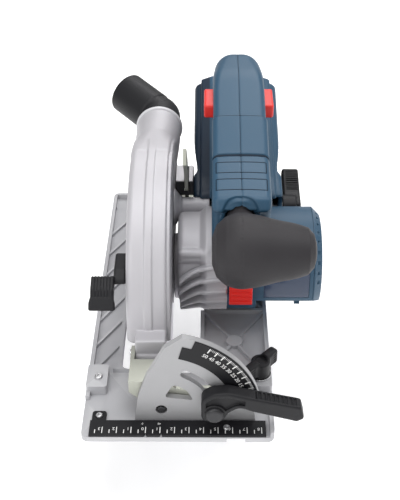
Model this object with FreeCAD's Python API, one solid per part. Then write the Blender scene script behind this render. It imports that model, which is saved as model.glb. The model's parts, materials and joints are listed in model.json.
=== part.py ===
import FreeCAD, Part
import math
import os

# Battery-powered, guide-rail circular saw with a swinging head, sizes in millimetres.
# +Z is up, the sole is z = 0, the blade's plane is x = 0, +X points to the motor
# and +Y to the user. y = 0 lies on the front land of the base.

# ---- driving dimensions ----
BASE_X = (-44.5, 88.8)
BASE_Y = (-25.0, 270.0)
FLOOR = 4.2
RIM_TOP = 8.0
RIM_WIDTH = 3.0
OPENING_X = (-21.0, 37.0)
OPENING_Y = (38.0, 250.0)
RAIL_GROOVE_X = (56.0, 68.7)
RAIL_GROOVE_DEPTH = 3.0
GUIDE_SLOT_Y = (19.0, 35.0)
GUIDE_SLOT_Z = (4.6, 9.4)

BLADE_RADIUS = 95.0
BLADE_BODY = 0.7
BLADE_KERF = 0.95
TEETH = 24
ARBOR = (137.0, 27.0)
GEAR_MODULE = 1.25
PINION_TEETH = 11
GEAR_TEETH = 35
CENTRE_DISTANCE = GEAR_MODULE * (PINION_TEETH + GEAR_TEETH) / 2
MOTOR_DIRECTION = math.radians(128.9)
MOTOR = (
    ARBOR[0] + CENTRE_DISTANCE * math.cos(MOTOR_DIRECTION),
    ARBOR[1] + CENTRE_DISTANCE * math.sin(MOTOR_DIRECTION),
)
MOTOR_RADIUS = 39.5
MOTOR_END = 121.0
CAP_END = 127.5
MOTOR_FLAT = 32.5
FLAT_START = 79.0

GUARD_RADIUS = 102.5
GUARD_INNER = 99.8
GUARD_X = (-15.2, 16.0)
GUARD_INSIDE_X = (-12.7, 13.5)
GUARD_SKIRT_Z = 36.0
LOWER_RADIUS = 99.0
LOWER_WALL = 1.8
LOWER_X = (-11.5, 11.5)
LOWER_ANGLES = (187.0, 352.0)
HUB_RADIUS = 19.8

HINGE = (29.0, 31.0)
HINGE_PIN_RADIUS = 3.0
BEVEL = (10.8, 15.0)
BEVEL_PIN_RADIUS = 4.0
BEVEL_TRAVEL = 50.0
CLAMP_DISTANCE = 37.6
CLAMP_ANGLE = math.radians(13.0)
CLAMP = (
    BEVEL[0] + CLAMP_DISTANCE * math.cos(CLAMP_ANGLE),
    BEVEL[1] + CLAMP_DISTANCE * math.sin(CLAMP_ANGLE),
)
STRIP_RADIUS = 141.0
STRIP_X = (24.7, 27.3)
STRIP_CLAMP_ANGLE = 14.0
DEPTH_CLAMP = (
    HINGE[0] + STRIP_RADIUS * math.cos(math.radians(STRIP_CLAMP_ANGLE)),
    HINGE[1] + STRIP_RADIUS * math.sin(math.radians(STRIP_CLAMP_ANGLE)),
)

DUCT_CENTRE = (2.0, 103.0)
DUCT_RADIUS = 17.0
DUCT_END = 226.0
ELBOW_CORNER = 243.0
ELBOW_TURN = math.radians(45.6)
ELBOW_LIFT = math.radians(14.0)
ELBOW_REACH = 43.0
HOSE_RADIUS = 17.5
HOSE_BORE = 15.0

SPLIT_X = 66.0
HANDLE_X = (45.5, 86.5)
BODY_X = (32.0, 101.0)
WALL = 3.0
GAP = 0.15
RUNNING = 0.06

BATTERY_X = (34.5, 98.5)
BATTERY_Y = (182.0, 296.0)
BATTERY_Z = (23.0, 82.0)

Vec = FreeCAD.Vector
AXES = {"x": Vec(1, 0, 0), "y": Vec(0, 1, 0), "z": Vec(0, 0, 1)}


# ---- geometry helpers ----
def place(axis, along, a, b):
    """Point at a distance along one axis, a and b on the two others."""
    if axis == "x":
        return Vec(along, a, b)
    if axis == "y":
        return Vec(a, along, b)
    return Vec(a, b, along)


def block(x, y, z):
    """Box between low and high values on each axis."""
    return Part.makeBox(x[1] - x[0], y[1] - y[0], z[1] - z[0], Vec(x[0], y[0], z[0]))


def rod(axis, span, centre, radius):
    start = place(axis, span[0], centre[0], centre[1])
    return Part.makeCylinder(radius, span[1] - span[0], start, AXES[axis])


def cone(axis, span, centre, radius_low, radius_high):
    start = place(axis, span[0], centre[0], centre[1])
    return Part.makeCone(radius_low, radius_high, span[1] - span[0], start, AXES[axis])


def ring(axis, span, centre, outer, inner):
    hole = rod(axis, (span[0] - 1, span[1] + 1), centre, inner)
    return rod(axis, span, centre, outer).cut(hole)


def outline(axis, along, corners):
    """Closed wire across an axis, from corners (a, b, rounding radius)."""
    stretches = []
    for index, (a, b, radius) in enumerate(corners):
        here = Vec(a, b, 0)
        before = corners[index - 1]
        after = corners[(index + 1) % len(corners)]
        to_before = (Vec(before[0], before[1], 0) - here).normalize()
        to_after = (Vec(after[0], after[1], 0) - here).normalize()
        half = to_before.getAngle(to_after) / 2
        reach = radius / math.tan(half)
        bisector = (to_before + to_after).normalize()
        middle = here + bisector * (radius / math.sin(half) - radius)
        stretches.append((here + to_before * reach, middle, here + to_after * reach))
    edges = []
    for index, (first, middle, last) in enumerate(stretches):
        following = stretches[(index + 1) % len(stretches)][0]
        spots = [place(axis, along, p.x, p.y) for p in (first, middle, last, following)]
        if corners[index][2] > 0:
            edges.append(Part.Arc(spots[0], spots[1], spots[2]).toShape())
        if (spots[3] - spots[2]).Length > 1e-6:
            edges.append(Part.LineSegment(spots[2], spots[3]).toShape())
    return Part.Wire(edges)


def prism(axis, span, corners):
    """Straight extrusion of a rounded outline along an axis."""
    face = Part.Face(outline(axis, span[0], corners))
    return face.extrude(AXES[axis] * (span[1] - span[0]))


def shrunk_prism(axis, span, corners, wall):
    """The inside of a prism whose walls have the given thickness."""
    face = Part.Face(outline(axis, span[0] + wall, corners)).makeOffset2D(-wall)
    return face.extrude(AXES[axis] * (span[1] - span[0] - 2 * wall))


def rectangle(a, b, radius):
    return [(a[0], b[0], radius), (a[1], b[0], radius), (a[1], b[1], radius), (a[0], b[1], radius)]


def soften(shape, radius, axis, levels):
    """Round the edges that lie wholly at one of the levels along an axis."""
    chosen = []
    for edge in shape.Edges:
        box = edge.BoundBox
        low = {"x": box.XMin, "y": box.YMin, "z": box.ZMin}[axis]
        high = {"x": box.XMax, "y": box.YMax, "z": box.ZMax}[axis]
        if any(abs(low - level) < 0.01 and abs(high - level) < 0.01 for level in levels):
            chosen.append(edge)
    return shape.makeFillet(radius, chosen)


def polar(centre, radius, degrees):
    turn = math.radians(degrees)
    return (centre[0] + radius * math.cos(turn), centre[1] + radius * math.sin(turn))


def sector(axis, span, centre, inner, outer, angles):
    """Part of a ring across an axis, between two angles in degrees."""
    middle = (angles[0] + angles[1]) / 2
    corners = [(inner, angles[0]), (outer, angles[0]), (outer, middle), (outer, angles[1])]
    corners += [(inner, angles[1]), (inner, middle)]
    p = [place(axis, span[0], *polar(centre, r, angle)) for r, angle in corners]
    edges = [
        Part.LineSegment(p[0], p[1]).toShape(),
        Part.Arc(p[1], p[2], p[3]).toShape(),
        Part.LineSegment(p[3], p[4]).toShape(),
        Part.Arc(p[4], p[5], p[0]).toShape(),
    ]
    return Part.Face(Part.Wire(edges)).extrude(AXES[axis] * (span[1] - span[0]))


def turned(shape, axis, centre, degrees):
    copy = shape.copy()
    copy.rotate(place(axis, 0, centre[0], centre[1]), AXES[axis], degrees)
    return copy


def join(shapes):
    """One solid from pieces that touch or overlap."""
    return shapes[0].fuse(shapes[1:]).removeSplitter()


def group(shapes):
    """Identical pieces that share a node."""
    return Part.makeCompound(shapes)


def dome_screw(axis, base, centre, shank, head, length, side):
    """Shank of a length behind a domed head; side is the way the head points."""
    body = rod(axis, sorted((base, base - side * length)), centre, shank)
    cap = rod(axis, sorted((base, base + side * head * 0.6)), centre, head)
    cap = soften(cap, head * 0.4, axis, [base + side * head * 0.6])
    socket = rod(axis, sorted((base + side * head * 0.25, base + side * head)), centre, head * 0.45)
    return join([body, cap]).cut(socket)


# ---- base ----
def base_plate():
    plate = prism("z", (0, RIM_TOP), rectangle(BASE_X, BASE_Y, 5))
    left = (BASE_X[0] + RIM_WIDTH, OPENING_X[0] - RIM_WIDTH)
    right = (OPENING_X[1] + RIM_WIDTH, BASE_X[1] - RIM_WIDTH)
    long_y = (OPENING_Y[0], OPENING_Y[1])
    front = (BASE_Y[0] - 1, 10.0)
    above = RIM_TOP + 1
    recesses = [
        block((BASE_X[0] - 1, right[1]), front, (FLOOR, above)),
        block((left[0], right[1]), (9.0, OPENING_Y[0]), (FLOOR, above)),
        prism("z", (FLOOR, above), rectangle(left, long_y, 3)),
        prism("z", (FLOOR, above), rectangle(right, (OPENING_Y[0] + 2, OPENING_Y[1]), 3)),
        block((left[0], right[1]), (OPENING_Y[1] - 1, 267.0), (FLOOR, above)),
    ]
    for recess in recesses:
        plate = plate.cut(recess)
    plate = plate.cut(prism("z", (-1, above), rectangle(OPENING_X, OPENING_Y, 6)))
    plate = plate.cut(block((OPENING_X[1] - 1, OPENING_X[1] + 3.4), (ARBOR[0] - 33, ARBOR[0] + 33), (-1, above)))
    ribs = []
    for index in range(7):
        ribs.append(slanted_rib(left, 52.0 + 28.5 * index))
    for index in range(4):
        rib_y = 32.0 + 72.0 * index
        if index:
            ribs.append(block((right[0] - 0.5, right[1] + 0.5), (rib_y, rib_y + 3), (FLOOR - 1, RIM_TOP)))
        if index < 3:
            ribs += cross_ribs(right, (rib_y + 3, rib_y + 72))
    ribs += guide_bridges()
    plate = join([plate] + ribs)
    plate = plate.cut(block((BASE_X[0] - 1, -28.0), GUIDE_SLOT_Y, GUIDE_SLOT_Z))
    plate = plate.cut(block((69.0, BASE_X[1] + 1), GUIDE_SLOT_Y, GUIDE_SLOT_Z))
    plate = plate.cut(block(RAIL_GROOVE_X, (BASE_Y[0] - 1, BASE_Y[1] + 1), (-1, RAIL_GROOVE_DEPTH)))
    plate = plate.cut(rod("z", (GUIDE_SLOT_Z[1] - 1, 20), WING_CENTRE, 3.0 + RUNNING))
    plate = plate.cut(rod("z", (GUIDE_SLOT_Z[1] - 1, 20), GUIDE_SET_SCREW, 2.0))
    for centre in STRIP_SCREWS:
        plate = plate.cut(rod("z", (1.5, 9), centre, 1.25))
    for centre in QUADRANT_SCREWS:
        plate = plate.cut(rod("z", (-1, 9), centre, 1.25))
        plate = plate.cut(rod("z", (-1, 1.8), centre, 2.6))
    return plate.removeSplitter()


def slanted_rib(x, middle):
    """A thin rib that crosses the long pocket at a slant."""
    centre = ((x[0] + x[1]) / 2, middle)
    level = (FLOOR - 1, RIM_TOP - 1.5)
    bar = block((centre[0] - 20, centre[0] + 20), (centre[1] - 0.9, centre[1] + 0.9), level)
    keep = block((x[0] - 0.5, x[1] + 0.5), (middle - 30, middle + 30), level)
    return turned(bar, "z", centre, 59).common(keep)


def cross_ribs(x, y):
    """Two crossing ribs and a round boss that stiffen one pocket of the base."""
    centre = ((x[0] + x[1]) / 2, (y[0] + y[1]) / 2)
    angle = math.degrees(math.atan2(y[1] - y[0], x[1] - x[0]))
    half = math.hypot(x[1] - x[0], y[1] - y[0]) / 2 - 1
    level = (FLOOR - 1, RIM_TOP - 1)
    bar = block((centre[0] - half, centre[0] + half), (centre[1] - 1, centre[1] + 1), level)
    keep = block((x[0] - 0.5, x[1] + 0.5), (y[0] - 0.5, y[1] + 0.5), level)
    boss = rod("z", (FLOOR - 1, RIM_TOP - 0.5), centre, 6)
    return [turned(bar, "z", centre, side * angle).common(keep) for side in (1, -1)] + [boss]


def guide_bridges():
    """Raised blocks at both edges that the parallel guide's bar slides through."""
    low = FLOOR - 1
    left = prism("z", (low, 12.5), rectangle((BASE_X[0], -29.5), (15.0, 38.0), 2))
    right = prism("z", (low, 13.5), rectangle((70.0, BASE_X[1]), (15.0, 39.0), 2))
    return [left, right]


WING_CENTRE = (80.5, 27.0)
GUIDE_SET_SCREW = (-36.0, 25.0)
STRIP_SCREWS = [(-33.0, -6.5), (56.0, -17.5)]
QUADRANT_SCREWS = [(1.0, -6.8), (62.0, -6.8)]
STRIP_Y = (-24.5, -10.6)
STRIP_TOP = FLOOR + 1.8


def ruler_strip():
    strip = block((-39.0, 83.0), STRIP_Y, (FLOOR, STRIP_TOP))
    tab = prism("z", (FLOOR, STRIP_TOP), rectangle((-38.0, -28.0), (STRIP_Y[1] - 3, -2.0), 2))
    strip = join([strip, tab])
    for mark in (0.0, BEVEL[0]):
        corners = [(mark - 1.2, STRIP_Y[0] - 1, 0), (mark + 1.2, STRIP_Y[0] - 1, 0)]
        corners.append((mark, STRIP_Y[0] + 3, 0))
        strip = strip.cut(prism("z", (FLOOR - 1, STRIP_TOP + 1), corners))
    for centre in STRIP_SCREWS:
        strip = strip.cut(rod("z", (FLOOR - 1, STRIP_TOP + 1), centre, 1.6))
    return strip


def strip_screws():
    return group([dome_screw("z", STRIP_TOP, c, 1.2, 2.4, 4.0, 1) for c in STRIP_SCREWS])


def guide_set_screw():
    return dome_screw("z", 12.5, GUIDE_SET_SCREW, 1.9, 3.0, 3.0, 1)


def bevel_quadrant():
    span = (-9.0, -4.6)
    top = polar(BEVEL, 68.5, 77)
    body = [(-8, FLOOR, 0), (-5, 27, 4), (1, 46, 4), (14, 72, 3), (top[0], top[1], 0)]
    body += [(BEVEL[0] + 6, BEVEL[1] + 16, 0), (74, BEVEL[1] + 3, 0), (76, FLOOR, 0)]
    plate = join([prism("y", span, body), sector("y", span, BEVEL, 12, 68.5, (4, 77))])
    shaft = (span[0] - 1, span[1] + 1)
    first = math.degrees(CLAMP_ANGLE)
    last = first + BEVEL_TRAVEL
    plate = plate.cut(sector("y", shaft, BEVEL, CLAMP_DISTANCE - 3.5, CLAMP_DISTANCE + 3.5, (first, last)))
    for angle in (first, last):
        plate = plate.cut(rod("y", shaft, polar(BEVEL, CLAMP_DISTANCE, angle), 3.45))
    window = [(13, 27, 2), (20, 40, 3), (29, 33, 3), (33, 24, 1)]
    plate = plate.cut(prism("y", shaft, window))
    plate = plate.cut(rod("y", shaft, BEVEL, BEVEL_PIN_RADIUS + RUNNING))
    for centre in QUADRANT_SCREWS:
        plate = plate.cut(rod("z", (0, 10), centre, 1.25))
    return plate


def quadrant_screws():
    screws = []
    for centre in QUADRANT_SCREWS:
        screws.append(join([rod("z", (0.4, 9.5), centre, 1.2), rod("z", (0.4, 1.7), centre, 2.5)]))
    return group(screws)


def bevel_scale():
    return sector("y", (-9.8, -9.0), BEVEL, 53.0, 67.0, (6, 70))


def rear_bevel_bracket():
    plate = prism("y", (256.0, 259.5), [(-6, FLOOR, 0), (28, FLOOR, 0), (22, 26, 6), (0, 26, 6)])
    foot = block((-6, 28), (256.0, 266.0), (FLOOR, FLOOR + 3))
    bracket = join([plate, foot])
    return bracket.cut(rod("y", (255, 261), BEVEL, BEVEL_PIN_RADIUS + RUNNING))


# ---- guide clamp screw ----
def guide_wing_screw():
    hub = soften(rod("z", (15.2, 27.5), WING_CENTRE, 7.0), 1.5, "z", [27.5])
    wings = []
    for side in (-1, 1):
        x = sorted((WING_CENTRE[0], WING_CENTRE[0] + side * 16.0))
        corners = [(x[0], 17, 2), (x[1], 17, 3), (x[1], 30, 5), (x[0], 30, 5)]
        wing = prism("y", (WING_CENTRE[1] - 3.6, WING_CENTRE[1] + 3.6), corners)
        wings.append(turned(wing, "z", WING_CENTRE, 47))
    core = rod("z", (20.0, 40.0), WING_CENTRE, 6.0)
    wings = [wing.cut(core) for wing in wings]
    shank = rod("z", (GUIDE_SLOT_Z[1] + 0.3, 16.0), WING_CENTRE, 3.0)
    return join([hub, shank] + wings)


def guide_washer():
    return ring("z", (13.6, 15.0), WING_CENTRE, 8.0, 3.2)


# ---- tilting bracket ----
EAR_X = (-11.5, -8.7)
FAR_EAR_X = (13.4, 16.2)
BARREL_X = (-8.4, 13.1)


def bevel_bracket():
    face = (-4.2, -1.6)
    arm = [(BEVEL[0] - 1, 6.2, 0), (BEVEL[0] + 12, 6.2, 0), (CLAMP[0] + 1, CLAMP[1] - 8, 0)]
    arm.append((CLAMP[0] + 1, CLAMP[1] + 8, 0))
    arm += [(FAR_EAR_X[1] + 4, 30, 3), (FAR_EAR_X[1], 37, 2), (EAR_X[0], 37, 2), (EAR_X[0], 27, 1)]
    plate = join([
        prism("y", face, arm),
        rod("y", face, BEVEL, 9.0),
        rod("y", face, CLAMP, 8.0),
        block((EAR_X[0], FAR_EAR_X[1]), (face[0], 18.0), (35.0, 37.0)),
    ])
    ear = [(face[0], 26.5, 0), (HINGE[0] + 6, 24.8, 5), (HINGE[0] + 6, 37, 5), (face[0], 37, 0)]
    ears = [prism("x", span, ear) for span in (EAR_X, FAR_EAR_X)]
    bracket = join([plate] + ears)
    bracket = bracket.cut(rod("x", (-20, 20), HINGE, HINGE_PIN_RADIUS))
    bracket = bracket.cut(rod("y", (-6, 0), BEVEL, BEVEL_PIN_RADIUS))
    return bracket.cut(rod("y", (-6, 0), CLAMP, 3.0 + RUNNING))


def hinge_pin():
    shank = rod("x", (-12.7, 18.8), HINGE, HINGE_PIN_RADIUS)
    return join([shank, rod("x", (-12.7, EAR_X[0]), HINGE, 3.9)])


def hinge_circlip():
    clip = ring("x", (16.5, 17.5), HINGE, 5.0, HINGE_PIN_RADIUS)
    return clip.cut(block((16, 18), (HINGE[0] - 1.5, HINGE[0] + 1.5), (HINGE[1] + 1, HINGE[1] + 8)))


def bevel_pivot_bolts():
    front = join([rod("y", (-9.2, -1.6), BEVEL, BEVEL_PIN_RADIUS), rod("y", (-12.0, -9.2), BEVEL, 6.0)])
    rear = join([rod("y", (251.5, 259.8), BEVEL, BEVEL_PIN_RADIUS), rod("y", (259.8, 262.6), BEVEL, 6.0)])
    socket = rod("y", (-13, -10.4), BEVEL, 2.5)
    return group([front.cut(socket), rear])


def rear_tilt_bracket():
    span = (251.5, 255.2)
    corners = [(BEVEL[0], 7.2, 0), (30.0, 10.0, 2), (30.0, 24.0, 2), (BEVEL[0], 23.0, 0)]
    plate = join([
        rod("y", span, BEVEL, 8.0),
        prism("y", span, corners),
        block((STRIP_X[1], 30.0), (226.0, span[1]), (10.0, 22.0)),
    ])
    for centre in STRIP_RIVETS:
        plate = plate.cut(rod("x", (20, 35), centre, 2.0))
    return plate.cut(rod("y", (250, 257), BEVEL, BEVEL_PIN_RADIUS))


STRIP_RIVETS = [(232.0, 16.0), (244.0, 16.0)]


def strip_rivets():
    rivets = []
    for centre in STRIP_RIVETS:
        shank = rod("x", (STRIP_X[0] - 1.5, 31.5), centre, 2.0)
        heads = [rod("x", (STRIP_X[0] - 1.5, STRIP_X[0]), centre, 3.5), rod("x", (30.0, 31.5), centre, 3.5)]
        rivets.append(join([shank] + heads))
    return group(rivets)


def depth_strip():
    arc = sector("x", STRIP_X, HINGE, STRIP_RADIUS - 6, STRIP_RADIUS + 6, (-5, 52))
    strip = join([arc, prism("x", STRIP_X, rectangle((162.0, 250.5), (10.0, 22.0), 3))])
    through = (STRIP_X[0] - 1, STRIP_X[1] + 1)
    slot = (STRIP_CLAMP_ANGLE - 1.5, 50.0)
    strip = strip.cut(sector("x", through, HINGE, STRIP_RADIUS - 2.8, STRIP_RADIUS + 2.8, slot))
    for centre in STRIP_RIVETS:
        strip = strip.cut(rod("x", through, centre, 2.0))
    return strip


# ---- bevel clamp lever ----
def bevel_clamp_lever():
    y = (-21.5, -11.0)
    corners = [
        (38.5, 16.0, 5), (38.5, 36.0, 7), (46.0, 41.5, 6), (57.0, 42.5, 8), (72.0, 38.0, 12),
        (106.0, 29.5, 3), (108.5, 19.0, 3), (103.5, 16.0, 2), (73.0, 25.5, 8), (64.0, 29.5, 7),
        (57.0, 24.0, 4), (53.0, 16.0, 4),
    ]
    arm = soften(prism("y", y, corners), 2.0, "y", y)
    hub = soften(rod("y", y, CLAMP, 9.4), 1.5, "y", [y[0]])
    return join([arm, hub]).cut(rod("y", (-30, 0), CLAMP, 3.0))


def bevel_clamp_bolt():
    shank = rod("y", (-21.5, 1.5), CLAMP, 3.0)
    head = soften(rod("y", (-24.4, -21.5), CLAMP, 6.4), 2.4, "y", [-24.4])
    nut = prism("y", (-1.4, 3.0), [
        (*polar(CLAMP, 6.2, 60 * side), 0) for side in range(6)
    ])
    return join([shank, head, nut])


def bevel_clamp_washer():
    return ring("y", (-10.9, -9.2), CLAMP, 8.0, 3.0)


# ---- upper guard and dust outlet ----
def disc(radius, x):
    return rod("x", x, ARBOR, radius)


def circle_wire(y, centre, radius):
    circle = Part.Circle(Vec(centre[0], y, centre[1]), AXES["y"], radius)
    return Part.Wire([circle.toShape()])


def duct(wall):
    """Chip duct from the blade's rear top to the round outlet."""
    a = (GUARD_X[0] + wall, GUARD_X[1] - wall)
    b = (66.0 + wall, 127.5 - wall)
    start = outline("y", 150.0, rectangle(a, b, 7.0))
    middle = outline("y", 190.0, rectangle((a[0] + 0.5, a[1] + 0.5), (b[0] + 8, b[1] - 4), 12.0))
    end = circle_wire(DUCT_END + wall - WALL, DUCT_CENTRE, DUCT_RADIUS + 2.0 - wall)
    return Part.makeLoft([start, middle, end], True, False)


def upper_guard():
    outer = soften(disc(GUARD_RADIUS, GUARD_X), 7.0, "x", GUARD_X)
    above = block((-40, 40), (0, 300), (GUARD_SKIRT_Z, 200))
    cheek = rod("x", (GUARD_X[1] - 2.5, GUARD_X[1]), ARBOR, 34.0)
    cheek = cheek.common(block((0, 40), (60, 200), (14.0, 60.0)))
    stub = rod("y", (DUCT_END - WALL, DUCT_END + 2.0), DUCT_CENTRE, DUCT_RADIUS)
    knuckle = [
        rod("x", BARREL_X, HINGE, 6.0),
        prism("x", BARREL_X, [(25.0, 32.0, 2), (46.0, 32.0, 0), (46.0, 58.0, 0), (33.5, 58.0, 4), (25.0, 45.0, 3)]),
    ]
    guard = join([outer.common(above), duct(0.0), stub, cheek] + knuckle)
    guard = guard.cut(disc(GUARD_INNER, GUARD_INSIDE_X))
    inner = duct(2.6).cut(block((-50, 50), (DUCT_END, 260), (60, 150)))
    guard = guard.cut(inner)
    guard = guard.cut(rod("y", (DUCT_END - 5.0, DUCT_END + 3), DUCT_CENTRE, DUCT_RADIUS - 2.2))
    guard = guard.cut(rod("x", (GUARD_INSIDE_X[1] - 1, 20), ARBOR, HUB_RADIUS + 0.3))
    guard = guard.cut(rod("x", (-20, GUARD_INSIDE_X[0] + 1), ARBOR, 30.0))
    guard = guard.cut(rod("x", (-20, 20), HINGE, HINGE_PIN_RADIUS + RUNNING))
    return guard.cut(rod("x", (-20, GUARD_INSIDE_X[0] + 1), FINGER_PIVOT, 2.5))


FINGER_PIVOT = (80.0, 76.0)


def duct_collar():
    ring_shape = ring("y", (DUCT_END - 1.4, DUCT_END + 1.8), DUCT_CENTRE, 20.2, DUCT_RADIUS)
    return soften(ring_shape, 1.0, "y", [DUCT_END + 1.8])


def elbow_direction():
    side = math.sin(ELBOW_TURN)
    return Vec(-side * math.cos(ELBOW_LIFT), math.cos(ELBOW_TURN), side * math.sin(ELBOW_LIFT))


def dust_elbow():
    corner = Vec(DUCT_CENTRE[0], ELBOW_CORNER, DUCT_CENTRE[1])
    way = elbow_direction()
    first = DUCT_END + 2.4
    outer = join([
        rod("y", (first, ELBOW_CORNER), DUCT_CENTRE, HOSE_RADIUS),
        Part.makeSphere(HOSE_RADIUS, corner),
        Part.makeCylinder(HOSE_RADIUS, ELBOW_REACH, corner, way),
    ])
    bores = [
        rod("y", (first - 1, ELBOW_CORNER), DUCT_CENTRE, HOSE_BORE),
        Part.makeSphere(HOSE_BORE, corner),
        Part.makeCylinder(HOSE_BORE, ELBOW_REACH + 1, corner, way),
    ]
    outer = outer.cut(block((-50, 50), (200, first), (60, 150)))
    for bore in bores:
        outer = outer.cut(bore)
    return outer


# ---- lower guard ----
def lower_guard():
    shell = sector("x", LOWER_X, ARBOR, 62.0, LOWER_RADIUS, LOWER_ANGLES)
    inside = (LOWER_X[0] + LOWER_WALL, LOWER_X[1] - LOWER_WALL)
    shell = shell.cut(disc(LOWER_RADIUS - LOWER_WALL, inside))
    plate_x = (LOWER_X[1] - LOWER_WALL, LOWER_X[1])
    plate = sector("x", plate_x, ARBOR, HUB_RADIUS + 0.1, 64.0, (LOWER_ANGLES[0] + 25, LOWER_ANGLES[1] - 10))
    hub = ring("x", plate_x, ARBOR, 24.5, HUB_RADIUS + 0.1)
    stop = rod("x", (LOWER_X[0] - 0.6, LOWER_X[0] + 1), polar(ARBOR, 75.0, 200.0), 3.0)
    return join([shell, plate, hub, stop])


def guard_finger_lever():
    """Lever on the blade side; a hidden link carries its lift to the lower guard."""
    x = (-24.5, GUARD_X[0] - 0.4)
    y, z = FINGER_PIVOT
    arm = [(y + 6, z - 7, 4), (y + 6, z + 8, 4), (y - 18, z + 11, 4), (y - 26, z, 4), (y - 14, z - 8, 4)]
    pad = [(y - 12, z, 2), (y - 20, z + 10, 2), (y - 32, z + 2, 4), (y - 42, z - 12, 2), (y - 37, z - 16, 2)]
    pad.append((y - 26, z - 8, 4))
    body = [
        prism("x", x, arm),
        soften(prism("x", (-41.0, x[0] + 3), pad), 1.0, "x", [-41.0]),
        rod("x", (x[1] - 1, GUARD_INSIDE_X[0] - 0.3), FINGER_PIVOT, 2.44),
    ]
    for index in range(4):
        spot = (y - 36.5 + 4.2 * index, z - 4.0 + 3.5 * index)
        body.append(rod("x", (-39.5, -26.0), spot, 1.5))
    return join(body)


# ---- blade and drive ----
def tooth_outline(teeth, root, tip, wide, narrow):
    """Corners of a gear or blade: per tooth two root points and two tip points."""
    corners = []
    pitch = 360.0 / teeth
    for index in range(teeth):
        middle = pitch * index
        for radius, offset in ((root, -wide), (tip, -narrow), (tip, narrow), (root, wide)):
            corners.append((*polar((0, 0), radius, middle + offset * pitch), 0))
    return corners


def gear(span, centre, teeth, start):
    radius = GEAR_MODULE * teeth / 2
    corners = tooth_outline(teeth, radius - 1.3 * GEAR_MODULE, radius + 0.8 * GEAR_MODULE, 0.29, 0.11)
    wheel = prism("x", span, corners)
    wheel.translate(Vec(0, centre[0], centre[1]))
    return turned(wheel, "x", centre, start)


def blade():
    plate = rod("x", (-BLADE_BODY, BLADE_BODY), (0, 0), BLADE_RADIUS - 9)
    for index in range(4):
        slot = block((-2, 2), (BLADE_RADIUS - 30, BLADE_RADIUS), (-0.4, 0.4))
        eye = rod("x", (-2, 2), (BLADE_RADIUS - 30, 0), 2.0)
        plate = plate.cut(turned(join([slot, eye]), "x", (0, 0), 90 * index + 7))
    pitch = 360.0 / TEETH
    shoulders = []
    for index in range(TEETH):
        a = pitch * index
        base = [polar((0, 0), BLADE_RADIUS - 11, a + t * pitch) for t in (-0.36, 0.02, 0.36)]
        tip = [polar((0, 0), BLADE_RADIUS - 2.5, a + 0.10 * pitch), polar((0, 0), BLADE_RADIUS - 0.6, a + 0.30 * pitch)]
        corners = [(*p, 0) for p in (base[0], base[1], base[2], tip[1], tip[0])]
        shoulders.append(prism("x", (-BLADE_BODY, BLADE_BODY), corners))
        carbide = [polar((0, 0), BLADE_RADIUS - 6, a + 0.355 * pitch), polar((0, 0), BLADE_RADIUS, a + 0.335 * pitch)]
        carbide += [polar((0, 0), BLADE_RADIUS - 0.8, a + 0.27 * pitch), polar((0, 0), BLADE_RADIUS - 6, a + 0.29 * pitch)]
        shoulders.append(prism("x", (-BLADE_KERF, BLADE_KERF), [(*p, 0) for p in carbide]))
    disc_shape = join([plate] + shoulders).cut(rod("x", (-2, 2), (0, 0), 10.0))
    disc_shape.translate(Vec(0, ARBOR[0], ARBOR[1]))
    return disc_shape


def outer_flange():
    cup = soften(disc(20.0, (-3.6, -BLADE_BODY)), 1.0, "x", [-3.6])
    return cup.cut(disc(4.1, (-5, 0)))


def inner_flange():
    return join([disc(20.0, (BLADE_BODY, 4.6)), disc(9.9, (-BLADE_BODY, 7.0))]).cut(disc(4.1, (-5, 9)))


def blade_bolt():
    head = prism("x", (-8.8, -3.6), [(*polar(ARBOR, 7.0, 60 * side), 0) for side in range(6)])
    return join([head, disc(4.0, (-3.6, 18.0))])


def spindle():
    shaft = join([disc(8.0, (7.0, 22.0)), disc(6.0, (22.0, 42.2))])
    return shaft.cut(disc(4.1, (0, 20.0)))


def spindle_gear():
    return gear((23.0, 32.5), ARBOR, GEAR_TEETH, 0).cut(disc(6.0, (20, 40)))


def spindle_bearings():
    return group([ring("x", (13.6, 21.0), ARBOR, 14.0, 8.0), ring("x", (35.0, 41.0), ARBOR, 11.0, 6.0)])


def motor_bearings():
    return group([ring("x", (35.0, 41.0), MOTOR, 9.0, 4.0), ring("x", (112.0, 118.0), MOTOR, 9.0, 4.0)])


def pinion_shaft():
    facing = math.degrees(MOTOR_DIRECTION) + 180
    half_tooth = 180.0 / PINION_TEETH
    gear_phase = math.degrees(MOTOR_DIRECTION) / (360.0 / GEAR_TEETH)
    offset = (gear_phase - math.floor(gear_phase)) * (360.0 / PINION_TEETH)
    teeth = gear((22.5, 33.0), MOTOR, PINION_TEETH, facing + half_tooth + offset)
    return join([teeth, rod("x", (33.0, 119.0), MOTOR, 4.0)])


def rotor():
    return ring("x", (61.0, 104.0), MOTOR, 18.0, 4.0)


def stator():
    yoke = ring("x", (60.0, 106.0), MOTOR, 29.4, 24.6)
    teeth = []
    for index in range(9):
        bar = block((62.0, 104.0), (MOTOR[0] + 18.8, MOTOR[0] + 25.5), (MOTOR[1] - 2.4, MOTOR[1] + 2.4))
        teeth.append(turned(bar, "x", MOTOR, 40 * index))
    return join([yoke] + teeth)


def fan():
    hub = ring("x", (43.5, 46.0), MOTOR, 31.0, 4.0)
    vanes = []
    for index in range(12):
        bar = block((45.5, 53.0), (MOTOR[0] + 14, MOTOR[0] + 31), (MOTOR[1] - 0.9, MOTOR[1] + 0.9))
        vanes.append(turned(bar, "x", MOTOR, 30 * index))
    return join([hub] + vanes)


# ---- gear housing ----
STRUT = (148.0, 78.0)
HOUSING_END = 57.0


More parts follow.
